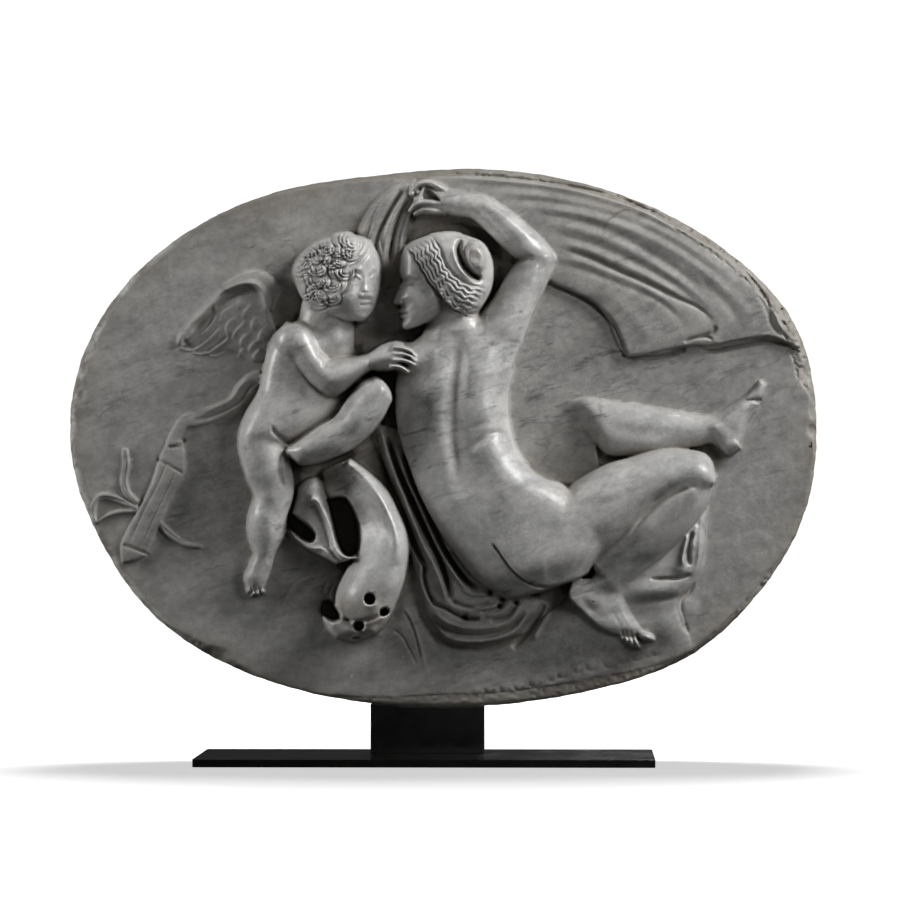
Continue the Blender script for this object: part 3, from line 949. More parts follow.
def dolphin(f):
    limb(f, [[296, 494, 326, 488, 26, 8], [290, 520, 334, 512, 32, 10], [292, 536, 338, 528, 36, 12],
             [306, 549, 345, 545, 38, 12], [335, 564, 365, 556, 46, 14]], k=4, start=14)
    limb(f, [[322, 470, 350, 458, 38, 12], [324, 490, 372, 474, 46, 14], [334, 502, 389, 492, 52, 16],
             [346, 510, 400, 514, 58, 20], [356, 532, 407, 532, 66, 22], [356, 553, 409, 552, 74, 24],
             [346, 570, 405, 580, 79, 24], [337, 590, 398, 600, 80, 24], [336, 606, 390, 618, 74, 22],
             [344, 618, 378, 632, 60, 20]], k=4, lean=0.16, end=6)
    # the bright round back along the right side, falling off to the flat inner side
    line(f, [(346, 462), (358, 471), (371, 486), (383, 503), (392, 522), (398, 544), (398, 566)], 6.5, 15,
         ends=(0.02, 0.6), sharp=2.4)
    bumps(f, [(346, 486, 20, 17, -15, 50), (366, 520, 12, 24, -12, -20), (330, 476, 12, 12, -10)])
    # lower jaw and ragged mouth
    limb(f, [[322, 612, 344, 604, 42, 12], [325, 624, 352, 616, 46, 14], [334, 636, 372, 628, 46, 12],
             [350, 642, 384, 626, 40, 10]], k=4, start=3, end=5)
    cut(f, [(322, 602), (328, 600), (334, 605), (340, 616), (336, 621), (328, 619), (320, 612)], -18,
        soft=1.6)
    line(f, [(340, 619), (352, 621), (366, 621), (378, 617), (388, 612)], 1.6, -9, ends=(0, 0.2))
    line(f, [(330, 624), (334, 632), (340, 638)], 3, 3)
    # forehead, brow and eye
    bumps(f, [(352, 596, 14, 18, 4), (384, 600, 10, 12, -4)])
    line(f, [(362, 605), (370, 607), (379, 604)], 1.4, 1.2)
    # holes drilled through
    for hole in [(369.5, 599, 5.0, 5.0, 0), (384, 612, 4.6, 3.6, -35), (359, 626, 5.0, 4.4, 0),
                 (356, 638, 4.5, 1.8, -8)]:
        cut(f, oval(*hole), 20, soft=0.7)
    bumps(f, [(378, 622, 10, 5, -5, -25), (392, 614, 7, 6, -6, 0), (350, 630, 8, 4, 3, 0),
             (366, 636, 8, 4, -4, -15), (396, 604, 6, 8, -4, 0), (376, 632, 5, 4, 4, 0)])
    # the openings between the tail's coils and the thin fin that edges them
    cut(f, [(327, 500), (338, 497), (346, 499), (353, 510), (358, 524), (359, 540), (357, 552), (350, 556),
            (344, 554), (339, 546), (335, 534), (331, 516)], -24, soft=1.2)
    cut(f, [(288, 512), (297, 518), (308, 526), (314, 534), (312, 541), (304, 540), (296, 534),
        (288, 526)], -16, soft=1.6)
    line(f, [(309, 498), (316, 500), (322, 509), (328, 522), (332, 536), (336, 549), (343, 556.5),
        (358, 558)], 2.6, 15,
         ends=(0.04, 0.1))
    bump(f, 315, 498, 6, 6, 8)
    line(f, [(286, 528), (293, 538), (302, 545), (313, 548.5), (322, 549), (331, 557), (343, 566)], 2.0, 7,
         ends=(0.05, 0.1))
    # fins flat on the ground, and lines incised round the head
    lines(f, [([(282, 602), (289, 591), (299, 581), (311, 576), (325, 574), (340, 577)], 2.0, 2.6),
              ([(284, 606), (293, 594), (303, 585), (315, 580)], 2.4, -1.6),
              ([(324, 594), (326, 586), (330, 580)], 2.2, 7), ([(330, 602), (331, 592), (335, 582)], 2.0, 6),
              ([(324, 598), (329, 604)], 2.0, 4),
              ([(393, 630), (402, 637), (409, 650), (418, 668)], 1.0, -2.6),
              ([(402, 608), (410, 616), (416, 632), (421, 650), (424, 664), (430, 675)], 1.6, 2.4),
              ([(404, 612), (413, 630), (418, 648), (421, 664)], 1.2, -1.8)], ends=(0.1, 0.3))
    bump(f, 405, 640, 12, 26, 2.5, turn=-18)


# The ground and its worn rim

def rim_distance(f):
    """Squares inward from the rim, and the direction in degrees, anticlockwise from the right."""
    gx, gy = np.meshgrid(f.x, f.y)
    share, angle = rim_share(gx, gy)
    radius = np.hypot(gx - CENTRE_ACROSS, gy - CENTRE_DOWN)
    inward = np.where(share < 0.1, 100.0, (1 - share) * radius / np.maximum(share, 0.1))
    return inward, np.degrees(angle) % 360


def ground(f):
    """Slow unevenness, point-chisel marks, and a row of scoops along the lower right edge."""
    f.h += 0.9 * noise(f, 42, 3) + 0.35 * noise(f, 13, 5)
    scoops = [(490, 690), (520, 690), (550, 681), (577, 673), (607, 665), (637, 659), (657, 656)]
    rng = np.random.default_rng(8)
    for x, y in smooth_path(scoops, 13):
        x, y, r = x + rng.uniform(-3, 3), y + rng.uniform(-2, 2), rng.uniform(4, 7.5)
        arc = [(x - r, y - r * 0.6), (x - r * 0.5, y + r * 0.25), (x + r * 0.5, y + r * 0.2), (x + r,
               y - r * 0.7)]
        line(f, arc, rng.uniform(0.9, 1.5), -rng.uniform(0.8, 2.4), ends=(0.2, 0.3))
        bump(f, x, y - r * 0.8, r * 0.8, r * 0.6, 0.9)


def rim_wear(f):
    """Rounds the rim off, breaks chips out of it and roughens it where the photograph shows it broken."""
    inward, angle = rim_distance(f)
    wander = noise(f, 9, 11)
    rough = noise(f, 3.2, 12)
    def around(at, spread):
        turn = (angle - at + 180) % 360 - 180
        return np.clip(1.6 - np.abs(turn) / spread * 1.6, 0, 1)
    # an evenly softened arris
    f.h -= 2.0 * np.exp(-(np.clip(inward, 0, None) / 1.8) ** 2)
    # broken bands: direction, spread, width in squares, depth
    for at, spread, width, depth in [(160, 16, 7.0, 5.0), (178, 10, 4.0, 3.5), (62, 22, 6.0, 4.0),
                                     (36, 20, 7.0, 4.5),
                                     (10, 14, 5.0, 4.0), (342, 12, 3.5, 3.0), (312, 10, 4.0, 3.5),
                                      (232, 9, 6.0, 5.0),
                                     (100, 20, 4.5, 3.0), (205, 12, 3.0, 2.5), (272, 16, 3.5, 2.5)]:
        edge = width * (1 + 0.45 * wander) * around(at, spread)
        broken = 1 / (1 + np.exp(-np.clip((edge - inward) / 0.8, -30, 30)))
        f.h -= broken * (depth * (1 - np.clip(inward, 0, None) / (width * 2.2)) + 0.9 * rough) * (edge > 0.4)
    # the rough unpolished band outside the sail and under the rock
    f.band = np.zeros_like(f.h)
    for at, spread, width, coarse in [(70, 50, 8, 1.3), (38, 30, 12, 1.5), (18, 12, 16, 1.5),
                                      (282, 34, 14, 0.8),
                                      (322, 20, 7, 1.0)]:
        band = np.clip((width * around(at, spread) - inward) / 1.5, 0, 1)
        f.h += band * (coarse * rough + 0.6 * wander - 1.4)
        f.band = np.maximum(f.band, band)
    # single chips
    for x, y, rx, ry, a in [(78, 392, 6, 10, -5), (97, 318, 7, 8, -5), (128, 268, 9, 5, -4),
                            (806, 372, 5, 9, -5),
                            (812, 430, 4, 6, -4), (660, 211, 10, 4, -4), (214, 656, 14, 7, -6),
                             (498, 168, 9, 3, -3)]:
        bump(f, x, y, rx, ry, a, sharp=3)


CARVING_ORDER = (ground, sail, rocks, heaped_cloth, hanging_cloth, quiver, wing, dolphin, far_leg, trunk,
                 near_leg, raised_arm, woman_head, child_trunk, child_legs, child_head, child_arm)
HIGHEST, EASE, DEEPEST = 76, 11, -24


def carve(cell):
    """The whole relief: everything carved in order, softened, worn and grained."""
    f = Field(cell)
    for carve_part in CARVING_ORDER:
        carve_part(f)
    f.h = blur(f.h, 0.55 / cell)
    rim_wear(f)
    # hammered hair-fine grain everywhere
    f.h += 0.10 * noise(f, 2.2, 21)
    # the highest parts ease off below the face of the block
    eased = HIGHEST + EASE * np.tanh((f.h - HIGHEST) / EASE)
    f.h = np.where(f.h > HIGHEST, eased, np.maximum(f.h, DEEPEST))
    return f


# From the field of heights to one closed mesh

def place(across, down, height):
    """Where a point of the drawing lies in space, at a height in millimetres above the slab's face."""
    shrink = 1 - height * MM / EYE_AWAY
    u = EYE_ACROSS + (across - EYE_ACROSS) * shrink - CENTRE_ACROSS
    v = EYE_DOWN + (down - EYE_DOWN) * shrink - CENTRE_DOWN
    return np.stack([u * SQUARE, GROUND - height * MM, CENTRE_HEIGHT - v * SQUARE * STRETCH], -1)


def drawn_place(x, y, z):
    """The drawing's squares and height for a point in space: the reverse of place."""
    height = (GROUND - y) / MM
    shrink = 1 - height * MM / EYE_AWAY
    across = EYE_ACROSS + (x / SQUARE + CENTRE_ACROSS - EYE_ACROSS) / shrink
    down = EYE_DOWN + ((CENTRE_HEIGHT - z) / (SQUARE * STRETCH) + CENTRE_DOWN - EYE_DOWN) / shrink
    return across, down, height


def slab_mesh(field):
    """Vertices and faces of the whole marble: carved front, rough edge and flat back."""
    gx, gy = np.meshgrid(field.x, field.y)
    share, angle = rim_share(gx, gy)
    radius = np.hypot(gx - CENTRE_ACROSS, gy - CENTRE_DOWN) + 1e-9
    over = (share - 1) * radius / np.maximum(share, 1e-9)
    snap = (over > 0) & (over < 1.15 * field.cell)
    keep = (over <= 0) | snap
    pull = np.where(snap, 1 / share, 1)
    gx = CENTRE_ACROSS + (gx - CENTRE_ACROSS) * pull
    gy = CENTRE_DOWN + (gy - CENTRE_DOWN) * pull
    cell = keep[:-1, :-1] & keep[:-1, 1:] & keep[1:, :-1] & keep[1:, 1:]
    used = np.zeros(keep.shape, bool)
    for di in (0, 1):
        for dj in (0, 1):
            used[di:di + cell.shape[0], dj:dj + cell.shape[1]] |= cell
    index = np.full(keep.shape, -1)
    index[used] = np.arange(used.sum())
    verts = [place(gx[used], gy[used], field.h[used])]
    a, b = index[:-1, :-1][cell], index[:-1, 1:][cell]
    c, d = index[1:, 1:][cell], index[1:, :-1][cell]
    faces = [np.stack([a, d, c, b], -1)]
    # the boundary, walked once round
    ring = {}
    start, end = np.concatenate([a, d, c, b]), np.concatenate([d, c, b, a])
    size = int(used.sum())
    forward = start.astype(np.int64) * size + end
    backward = end.astype(np.int64) * size + start
    lone = ~np.isin(forward, backward)
    for p, q in zip(start[lone], end[lone]):
        ring[int(p)] = int(q)
    loop = [next(iter(ring))]
    while ring[loop[-1]] != loop[0]:
        loop.append(ring[loop[-1]])
    loop = np.array(loop)
    n = len(loop)
    # the edge goes back in rows, rough from the point chisel, then the back closes it
    edge = verts[0][loop]
    centre = np.array([0.0, 0.0, CENTRE_HEIGHT])
    out = edge - centre
    out[:, 1] = 0
    way = out / np.linalg.norm(out, axis=1)[:, None]
    turn = np.unwrap(np.arctan2(out[:, 2], out[:, 0]))
    base = size
    previous = loop
    rows = 12
    for row in range(1, rows + 1):
        f = row / rows
        wave = (np.sin(turn * 23 + 9 * f) + np.sin(turn * 41 - 7 * f + 1) + np.sin(turn * 67 + 13 * f + 2)
                + 0.7 * np.sin(turn * 149 + 21 * f) + 0.7 * np.sin(turn * 211 - 17 * f))
        inset = 0.0012 + 0.0009 * (wave / 4.4 + 1) * min(1, 4 * f) * min(1, 4 * (1 - f) + 0.2)
        if row == rows:
            inset = inset + EDGE_WEAR * 0.7
        ring_at = edge - way * inset[:, None]
        ring_at[:, 1] = edge[:, 1] + (BACK - edge[:, 1]) * f
        verts.append(ring_at)
        current = np.arange(base, base + n)
        faces.append(np.stack([previous, np.roll(previous, -1), np.roll(current, -1), current], -1)[:, ::-1])
        previous = current
        base += n
    last = verts[-1]
    for scale in (0.985, 0.93, 0.8, 0.6, 0.35, 0.12):
        inner = centre + (last - centre) * scale
        inner[:, 1] = BACK
        verts.append(inner)
        current = np.arange(base, base + n)
        faces.append(np.stack([previous, np.roll(previous, -1), np.roll(current, -1), current], -1)[:, ::-1])
        previous = current
        base += n
    verts.append(np.array([[0.0, BACK, CENTRE_HEIGHT]]))
    tip = np.full(n, base)
    fan = np.stack([previous, np.roll(previous, -1), tip], -1)[:, ::-1]
    return np.concatenate(verts), faces, fan


def make_mesh(name, verts, quads, tris):
    """A mesh from arrays of places, quads and triangles."""
    mesh = bpy.data.meshes.new(name)
    quad = np.concatenate(quads)
    loops = np.concatenate([quad.reshape(-1), tris.reshape(-1)])
    starts = np.concatenate([np.arange(len(quad)) * 4, len(quad) * 4 + np.arange(len(tris)) * 3])
    mesh.vertices.add(len(verts))
    mesh.vertices.foreach_set("co", verts.astype(np.float32).reshape(-1))
    mesh.loops.add(len(loops))
    mesh.loops.foreach_set("vertex_index", loops.astype(np.int32))
    mesh.polygons.add(len(starts))
    mesh.polygons.foreach_set("loop_start", starts.astype(np.int32))
    mesh.update(calc_edges=True)
    mesh.validate()
    return mesh


def lightened(obj, most):
    """Thins out the flat stretches to at most so many triangles, and shades all but the back smoothly."""
    obj.data.calc_loop_triangles()
    ratio = most / len(obj.data.loop_triangles)
    if ratio < 1:
        thin = obj.modifiers.new("thin", "DECIMATE")
        thin.ratio = ratio
        thin.use_collapse_triangulate = True
        graph = bpy.context.evaluated_depsgraph_get()
        mesh = bpy.data.meshes.new_from_object(obj.evaluated_get(graph))
        obj.modifiers.clear()
        old = obj.data
        obj.data = mesh
        bpy.data.meshes.remove(old)
    facing = np.empty(3 * len(obj.data.polygons))
    obj.data.polygons.foreach_get("normal", facing)
    obj.data.polygons.foreach_set("use_smooth", facing[1::3] < 0.95)
    return obj


def sampled(field, grid, across, down):
    """Bilinear reading of a grid at places of the drawing."""
    u = np.clip((across - LEFT) / field.cell, 0, field.nx - 1.001)
    v = np.clip((down - TOP) / field.cell, 0, field.ny - 1.001)
    j, i = u.astype(int), v.astype(int)
    fu, fv = u - j, v - i
    top = grid[i, j] * (1 - fu) + grid[i, j + 1] * fu
    low = grid[i + 1, j] * (1 - fu) + grid[i + 1, j + 1] * fu
    return top * (1 - fv) + low * fv


def write_attribute(mesh, name, values):
    layer = mesh.attributes.new(name, "FLOAT", "POINT")
    layer.data.foreach_set("value", values.astype(np.float32))


def enclosed(field, reach):
    """How deep each spot lies below both its sides at a reach, in the most closed of four directions."""
    n = max(1, int(round(reach / field.cell)))
    deep = np.zeros_like(field.h)
    for i, j in ((0, n), (n, 0), (n, n), (n, -n)):
        sides = np.minimum(np.roll(field.h, (i, j), (0, 1)), np.roll(field.h, (-i, -j), (0, 1)))
        deep = np.maximum(deep, sides - field.h)
    return deep


def weathering(obj, field):
    """Writes how hollow, how high and how near the rim each point of the marble is."""
    mesh = obj.data
    co = np.empty(len(mesh.vertices) * 3, np.float32)
    mesh.vertices.foreach_get("co", co)
    co = co.reshape(-1, 3).astype(float)
    across, down, height = drawn_place(co[:, 0], co[:, 1], co[:, 2])
    hollow = (0.055 * enclosed(field, 3) + 0.022 * enclosed(field, 8) + 0.011 * enclosed(field, 17)
              + 0.010 * np.clip(blur(field.h, 3 / field.cell) - field.h, 0, 12))
    hollow = blur(hollow, 0.8 / field.cell)
    proud = np.clip(field.h - blur(field.h, 2.0 / field.cell), 0, None) * 0.15
    share, _ = rim_share(across, down)
    radius = np.hypot(across - CENTRE_ACROSS, down - CENTRE_DOWN)
    inward = (1 - share) * radius * SQUARE / MM / np.maximum(share, 1e-6)
    front = np.clip(1 - (co[:, 1] - GROUND) / 0.012, 0, 1)
    write_attribute(mesh, "hollow", np.clip(sampled(field, hollow, across, down), 0, 1) * front)
    write_attribute(mesh, "proud", np.clip(sampled(field, proud, across, down), 0, 1) * front)
    write_attribute(mesh, "band", sampled(field, field.band, across, down) * front)
    write_attribute(mesh, "inward", np.clip(inward, 0, 200) * front)
    write_attribute(mesh, "deep", np.clip(-height / 8 - 0.5, 0, 1) * (inward > 15) * (height > -40))
    write_attribute(mesh, "height", np.clip(height, 0, 120))


def make_marble():
    field = carve(FINE_CELL)
    verts, quads, fan = slab_mesh(field)
    obj = bpy.data.objects.new("carved_marble", make_mesh("carved_marble", verts, quads, fan))
    bpy.context.scene.collection.objects.link(obj)
    lightened(obj, MOST_TRIANGLES)
    weathering(obj, field)
    obj.data.materials.append(marble_material())
    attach(obj, "root")
    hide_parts("marble_plaque")
    return obj


# Materials

class Nodes:
    """Short ways to add and join shader nodes."""

    def __init__(self, name):
        self.material = bpy.data.materials.new(name)
        self.material.use_nodes = True
        self.tree = self.material.node_tree
        self.shader = self.tree.nodes["Principled BSDF"]

    def add(self, kind, **values):
        node = self.tree.nodes.new(kind)
        for key, value in values.items():
            if key in node.inputs:
                node.inputs[key].default_value = value
            else:
                setattr(node, key, value)
        return node

    def join(self, source, target):
        self.tree.links.new(source, target)

    def noise(self, place, scale, detail=4.0, rough=0.55, distortion=0.0):
        node = self.add("ShaderNodeTexNoise", Scale=scale, Detail=detail, Roughness=rough,
                        Distortion=distortion)
        self.join(place, node.inputs["Vector"])
        return node.outputs["Fac"]

    def ramp(self, value, stops):
        node = self.add("ShaderNodeValToRGB")
        ramp = node.color_ramp
        while len(ramp.elements) < len(stops):
            ramp.elements.new(0.5)
        for element, (at, colour) in zip(ramp.elements, stops):
            element.position = at
            element.color = (*colour, 1) if len(colour) == 3 else colour
        self.join(value, node.inputs["Fac"])
        return node.outputs["Color"]

    def grey(self, value, low, high, bottom=0.0, top=1.0):
        node = self.add("ShaderNodeMapRange", clamp=True)
        node.inputs["From Min"].default_value = low
        node.inputs["From Max"].default_value = high
        node.inputs["To Min"].default_value = bottom
        node.inputs["To Max"].default_value = top
        self.join(value, node.inputs["Value"])
        return node.outputs["Result"]

    def math(self, operation, a, b=None, clamp=False):
        node = self.add("ShaderNodeMath", operation=operation, use_clamp=clamp)
        for slot, value in enumerate((a, b)):
            if value is None:
                continue
            if isinstance(value, (int, float)):
                node.inputs[slot].default_value = value
            else:
                self.join(value, node.inputs[slot])
        return node.outputs["Value"]

    def mix(self, factor, a, b, blend="MIX"):
        node = self.add("ShaderNodeMix", data_type="RGBA", blend_type=blend)
        for socket, value in ((node.inputs["Factor"], factor), (node.inputs[6], a), (node.inputs[7], b)):
            if isinstance(value, (int, float)):
                socket.default_value = value
            elif isinstance(value, tuple):
                socket.default_value = (*value, 1)
            else:
                self.join(value, socket)
        return node.outputs[2]

    def attribute(self, name):
        return self.add("ShaderNodeAttribute", attribute_name=name).outputs["Fac"]

    def drawn_out(self, place, tilt, long, short):
        """The place squeezed so that a noise runs in streaks that rise to the right by a tilt in degrees."""
        node = self.add("ShaderNodeMapping", vector_type="TEXTURE")
        node.inputs["Rotation"].default_value = (0, -math.radians(tilt), 0)
        node.inputs["Scale"].default_value = (long, 1, short)
        self.join(place, node.inputs["Vector"])
        return node.outputs["Vector"]

    def product(self, *values):
        result = values[0]
        for value in values[1:]:
            result = self.math("MULTIPLY", result, value, clamp=True)
        return result


DOLPHIN_JAW = (-0.097, -0.05, 0.179)
BROKEN_KNOT = (0.0455, -0.065, 0.662)
VEIN_GREY = (0.13, 0.13, 0.135)
STAIN_BROWN = (0.25, 0.195, 0.13)
SOOT = (0.035, 0.028, 0.02)
RUST = (0.36, 0.23, 0.11)
FRESH_WHITE = (0.62, 0.61, 0.58)
RIM_DIRT = (0.17, 0.15, 0.12)


def marble_body(n, place):
    """Clouded grey-white stone: wide clouds, mottling and a fine grain."""
    cloud = n.noise(place, 4.5, 5.0, 0.6, 0.4)
    colour = n.ramp(cloud, [(0.30, (0.43, 0.43, 0.425)), (0.52, (0.53, 0.525, 0.515)),
                            (0.75, (0.63, 0.625, 0.605))])
    mottle = n.grey(n.noise(n.drawn_out(place, 22, 1.6, 0.8), 18.0, 7.0, 0.66, 0.6), 0.38, 0.74)
    colour = n.mix(n.product(mottle, 0.78), colour, (0.26, 0.26, 0.262))
    grain = n.ramp(n.noise(place, 90.0, 7.0, 0.75), [(0.3, (0.30, 0.30, 0.295)), (0.7, (0.70, 0.695, 0.68))])
    return n.mix(0.95, colour, grain, "SOFT_LIGHT")


def marble_veins(n, place):
    """How dark the grey veins, smudges, dashes and specks are."""
    patchy = n.grey(n.noise(place, 5.0, 3.0), 0.42, 0.58)
    field = n.noise(n.drawn_out(place, 18, 1.0, 0.35), 4.6, 5.0, 0.55, 0.2)
    vein = n.grey(n.math("ABSOLUTE", n.math("SUBTRACT", field, 0.5)), 0.0, 0.014, 1.0, 0.0)
    smudge = n.grey(n.noise(n.drawn_out(place, 20, 1.0, 0.5), 17.0, 6.0, 0.62, 0.4), 0.53, 0.72)
    dashes = n.grey(n.noise(n.drawn_out(place, 15, 1.0, 0.24), 26.0, 5.0, 0.62, 0.2), 0.57, 0.68)
    specks = n.grey(n.noise(place, 170.0, 3.0, 0.6), 0.66, 0.74)
    veins = n.math("MAXIMUM", n.product(vein, patchy, 0.45), n.product(smudge, 0.50))
    small = n.math("MAXIMUM", n.product(dashes, patchy, 0.75), n.product(specks, 0.35))
    return n.math("MAXIMUM", veins, small)


def marble_material():
    n = Nodes("weathered grey marble")
    place = n.add("ShaderNodeTexCoord").outputs["Object"]
    hollow, proud = n.attribute("hollow"), n.attribute("proud")
    inward, height = n.attribute("inward"), n.attribute("height")
    polished = n.grey(height, 12.0, 32.0)
    colour = n.mix(marble_veins(n, place), marble_body(n, place), VEIN_GREY)
    # the ground is duller and darker than the polished figures
    colour = n.mix(n.math("SUBTRACT", 1.0, polished), colour, (0.68, 0.675, 0.665), "MULTIPLY")
    # warm stain in patches and along the rim
    spots = n.grey(n.noise(place, 3.1, 5.0, 0.65), 0.50, 0.78)
    along_rim = n.product(n.grey(inward, 0.0, 50.0, 1.0, 0.0),
                          n.grey(n.noise(place, 9.0, 5.0, 0.6), 0.35, 0.65))
    stain = n.math("ADD", n.product(spots, 0.35), n.product(along_rim, 0.65), clamp=True)
    colour = n.mix(stain, colour, n.mix(0.55, colour, STAIN_BROWN))
    grime = n.math("MAXIMUM", n.grey(inward, 0.5, 13.0, 0.85, 0.0), n.product(n.attribute("band"), 0.75))
    uneven = n.grey(n.noise(place, 22.0, 5.0, 0.65), 0.35, 0.60, 0.45, 1.0)
    colour = n.mix(n.product(grime, uneven), colour, RIM_DIRT)
    # rusty patches on the dolphin's jaw and tan on the broken knot of hair
    for centre, reach, amount in ((DOLPHIN_JAW, 0.075, 0.75), (BROKEN_KNOT, 0.028, 0.6)):
        away = n.add("ShaderNodeVectorMath", operation="DISTANCE")
        away.inputs[1].default_value = centre
        n.join(place, away.inputs[0])
        patch = n.product(n.grey(away.outputs["Value"], reach * 0.3, reach, 1.0, 0.0),
                          n.grey(n.noise(place, 30.0, 5.0, 0.65), 0.36, 0.62), amount)
        colour = n.mix(patch, colour, n.mix(0.5, colour, RUST))
    # fresh pale chips along the left of the rim
    leftward = n.add("ShaderNodeSeparateXYZ")
    n.join(place, leftward.inputs[0])
    chips = n.product(n.grey(inward, 4.0, 10.0, 1.0, 0.0),
                      n.grey(leftward.outputs["X"], -0.42, -0.30, 1.0, 0.0),
                      n.grey(n.noise(place, 34.0, 4.0, 0.6), 0.44, 0.58))
    colour = n.mix(n.product(chips, 0.8), colour, FRESH_WHITE)
    # dirt in the hollows, worn white on the edges
    colour = n.mix(n.product(hollow, 0.95), colour, n.mix(n.grey(hollow, 0.3, 0.9), STAIN_BROWN, SOOT))
    colour = n.mix(n.product(n.attribute("deep"), 0.97), colour, SOOT)
    colour = n.mix(n.product(proud, 0.22), colour, (0.74, 0.73, 0.70))
    n.join(colour, n.shader.inputs["Base Color"])
    gloss = n.grey(n.noise(place, 14.0, 4.0), 0.3, 0.7, -0.05, 0.07)
    n.join(n.math("ADD", gloss, n.grey(polished, 0.0, 1.0, 0.66, 0.38)), n.shader.inputs["Roughness"])
    n.shader.inputs["Specular IOR Level"].default_value = 0.7
    # tool marks and grain
    fine, coarse = n.noise(place, 260.0, 5.0, 0.6), n.noise(place, 70.0, 4.0, 0.6)
    grain = n.math("ADD", n.math("MULTIPLY", fine, 0.5), coarse)
    bump = n.add("ShaderNodeBump", Strength=0.45, Distance=0.0010)
    n.join(grain, bump.inputs["Height"])
    n.join(bump.outputs["Normal"], n.shader.inputs["Normal"])
    return n.material


def steel_material():
    n = Nodes("gloss black steel")
    place = n.add("ShaderNodeTexCoord").outputs["Object"]
    haze = n.ramp(n.noise(place, 18.0, 4.0, 0.6),
                  [(0.3, (0.002, 0.0019, 0.0018)), (0.7, (0.006, 0.0055, 0.005))])
    n.join(haze, n.shader.inputs["Base Color"])
    n.join(n.grey(n.noise(place, 45.0, 4.0), 0.3, 0.7, 0.10, 0.20), n.shader.inputs["Roughness"])
    n.shader.inputs["Specular IOR Level"].default_value = 0.5
    bump = n.add("ShaderNodeBump", Strength=0.06, Distance=0.0004)
    n.join(n.noise(place, 120.0, 3.0), bump.inputs["Height"])
    n.join(bump.outputs["Normal"], n.shader.inputs["Normal"])
    return n.material


def dress_stand():
    steel = steel_material()
    for name in ("stand_foot", "stand_upright"):
        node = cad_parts[name]
        for slot in node.material_slots:
            slot.material = steel


# Floor, lights and camera

def make_stage():
    n = Nodes("pale floor")
    place = n.add("ShaderNodeTexCoord").outputs["Object"]
    tone = n.noise(place, 2.0, 2.0)
    shade = n.ramp(tone, [(0.0, (0.80, 0.80, 0.80)), (1.0, (0.84, 0.84, 0.84))])
    n.join(shade, n.shader.inputs["Base Color"])
    n.join(shade, n.shader.inputs["Emission Color"])
    # pure white further off; by the stand dim enough to show its shadow
    length = n.add("ShaderNodeVectorMath", operation="LENGTH")
    n.join(place, length.inputs[0])
    n.join(n.grey(length.outputs["Value"], 0.45, 1.0, 0.72, 1.3), n.shader.inputs["Emission Strength"])
    n.shader.inputs["Roughness"].default_value = 0.9
    # a round floor that bends up into a wall, so that every side has the same white behind it
    bend, far, tall, sides = 1.2, 9.0, 6.0, 48
    profile = [(far - bend, 0.0)]
    profile += [(far - bend + bend * math.sin(a), bend - bend * math.cos(a))
                for a in (math.radians(d) for d in range(6, 91, 6))]
    profile.append((far, tall))
    verts = [(r * math.cos(math.tau * i / sides), r * math.sin(math.tau * i / sides), z)
             for r, z in profile for i in range(sides)]
    faces = [tuple(range(sides))]
    for ring in range(len(profile) - 1):
        for i in range(sides):
            j = (i + 1) % sides
            faces.append(tuple(ring * sides + k for k in (j, i, i + sides, j + sides)))
    mesh = bpy.data.meshes.new("floor")
    mesh.from_pydata(verts, [], faces)
    floor = bpy.data.objects.new("floor", mesh)
    mesh.materials.append(n.material)
    bpy.context.scene.collection.objects.link(floor)
    # a white studio that throws no light back on the marble, as behind black flags
    floor.visible_diffuse = False
    floor.visible_glossy = False
    return floor


def area_light(name, spot, target, size, power):
    data = bpy.data.lights.new(name, "AREA")
    data.shape = "RECTANGLE"
    data.size, data.size_y = size
    data.energy = power
    light = bpy.data.objects.new(name, data)
    light.location = spot
    light.rotation_euler = (Vector(target) - Vector(spot)).to_track_quat("-Z", "Y").to_euler()
    bpy.context.scene.collection.objects.link(light)
    return light


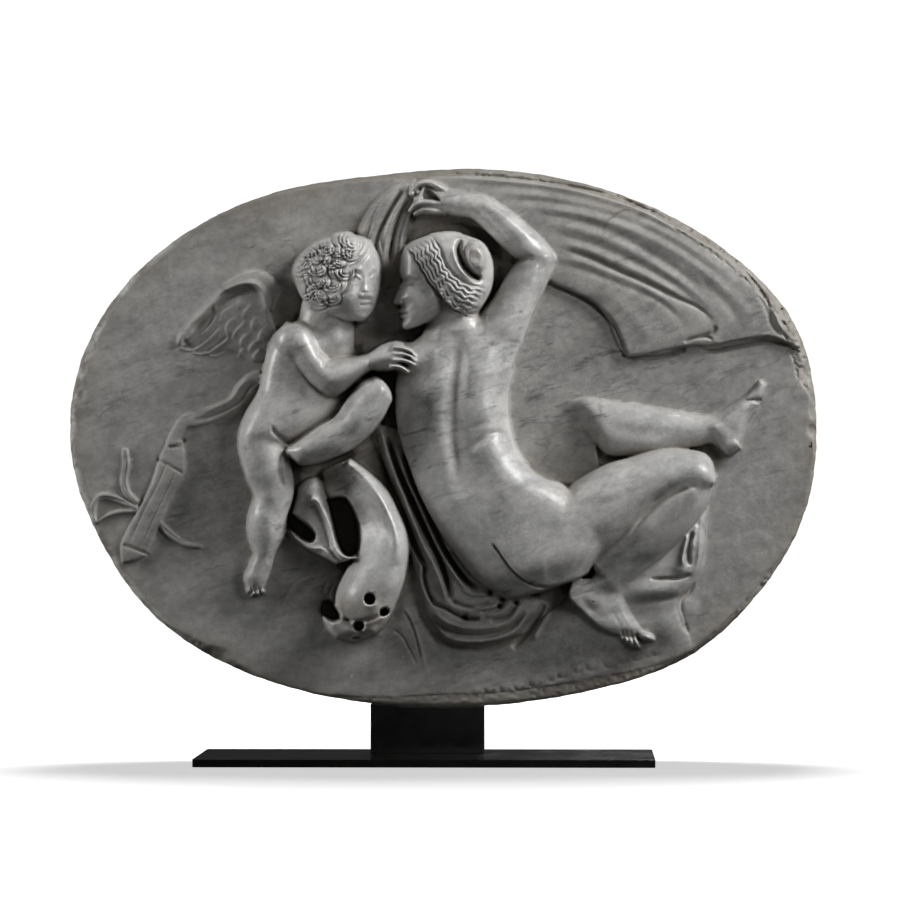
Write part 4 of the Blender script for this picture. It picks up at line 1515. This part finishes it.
def light_only(light, floor, on_floor):
    """Keeps a light on the floor alone, or off the floor."""
    receivers = bpy.data.collections.new(light.name + " receivers")
    receivers.objects.link(floor)
    receivers.collection_objects[0].light_linking.link_state = "INCLUDE" if on_floor else "EXCLUDE"
    light.light_linking.receiver_collection = receivers


def make_lights(floor):
    middle = (0, 0, CENTRE_HEIGHT)
    key = area_light("key", (2.90, -1.15, 3.05), middle, (1.2, 1.2), 180)
    high = area_light("high key", (2.5, -2.6, 1.6), (0.25, 0, 0.38), (1.2, 1.2), 30)
    rim = area_light("rim", (-3.2, -0.50, 1.30), middle, (0.6, 1.2), 62)
    fill = area_light("fill", (0.6, -3.6, 0.5), middle, (1.6, 1.2), 2)
    behind = area_light("behind", (0.9, 3.6, 1.9), middle, (1.6, 1.2), 60)
    wash = area_light("floor wash", (0.1, 1.0, 2.6), (0, -0.2, 0), (1.2, 0.8), 75)
    for light in (key, high, rim, fill, behind):
        light_only(light, floor, False)
    light_only(wash, floor, True)
    world = bpy.data.worlds.new("studio")
    world.use_nodes = True
    world.node_tree.nodes["Background"].inputs["Color"].default_value = (1, 1, 1, 1)
    world.node_tree.nodes["Background"].inputs["Strength"].default_value = 0.03
    bpy.context.scene.world = world


def make_camera():
    """The photograph's view: part of the off-centre framing is shift, the rest a slight turn."""
    image = 900
    focal = 3558
    away = EYE_AWAY - GROUND
    eye = Vector(((EYE_ACROSS - CENTRE_ACROSS) * SQUARE, -away,
                  CENTRE_HEIGHT + (CENTRE_DOWN - EYE_DOWN) * SQUARE))
    data = bpy.data.cameras.new("camera")
    data.sensor_width = 36
    data.lens = 36 * focal / image
    off_across, off_down = (EYE_ACROSS - image / 2) / focal, (EYE_DOWN - image / 2) / focal
    turned = 0.5
    data.shift_x = -off_across * (1 - turned) * focal / image
    data.shift_y = off_down * (1 - turned) * focal / image
    camera = bpy.data.objects.new("camera", data)
    camera.location = eye
    camera.rotation_euler = (math.pi / 2 + math.atan(off_down * turned), 0, math.atan(off_across * turned))
    bpy.context.scene.collection.objects.link(camera)
    bpy.context.scene.camera = camera


make_camera()
make_lights(make_stage())
dress_stand()
make_marble()
bpy.context.scene.view_settings.view_transform = "Standard"
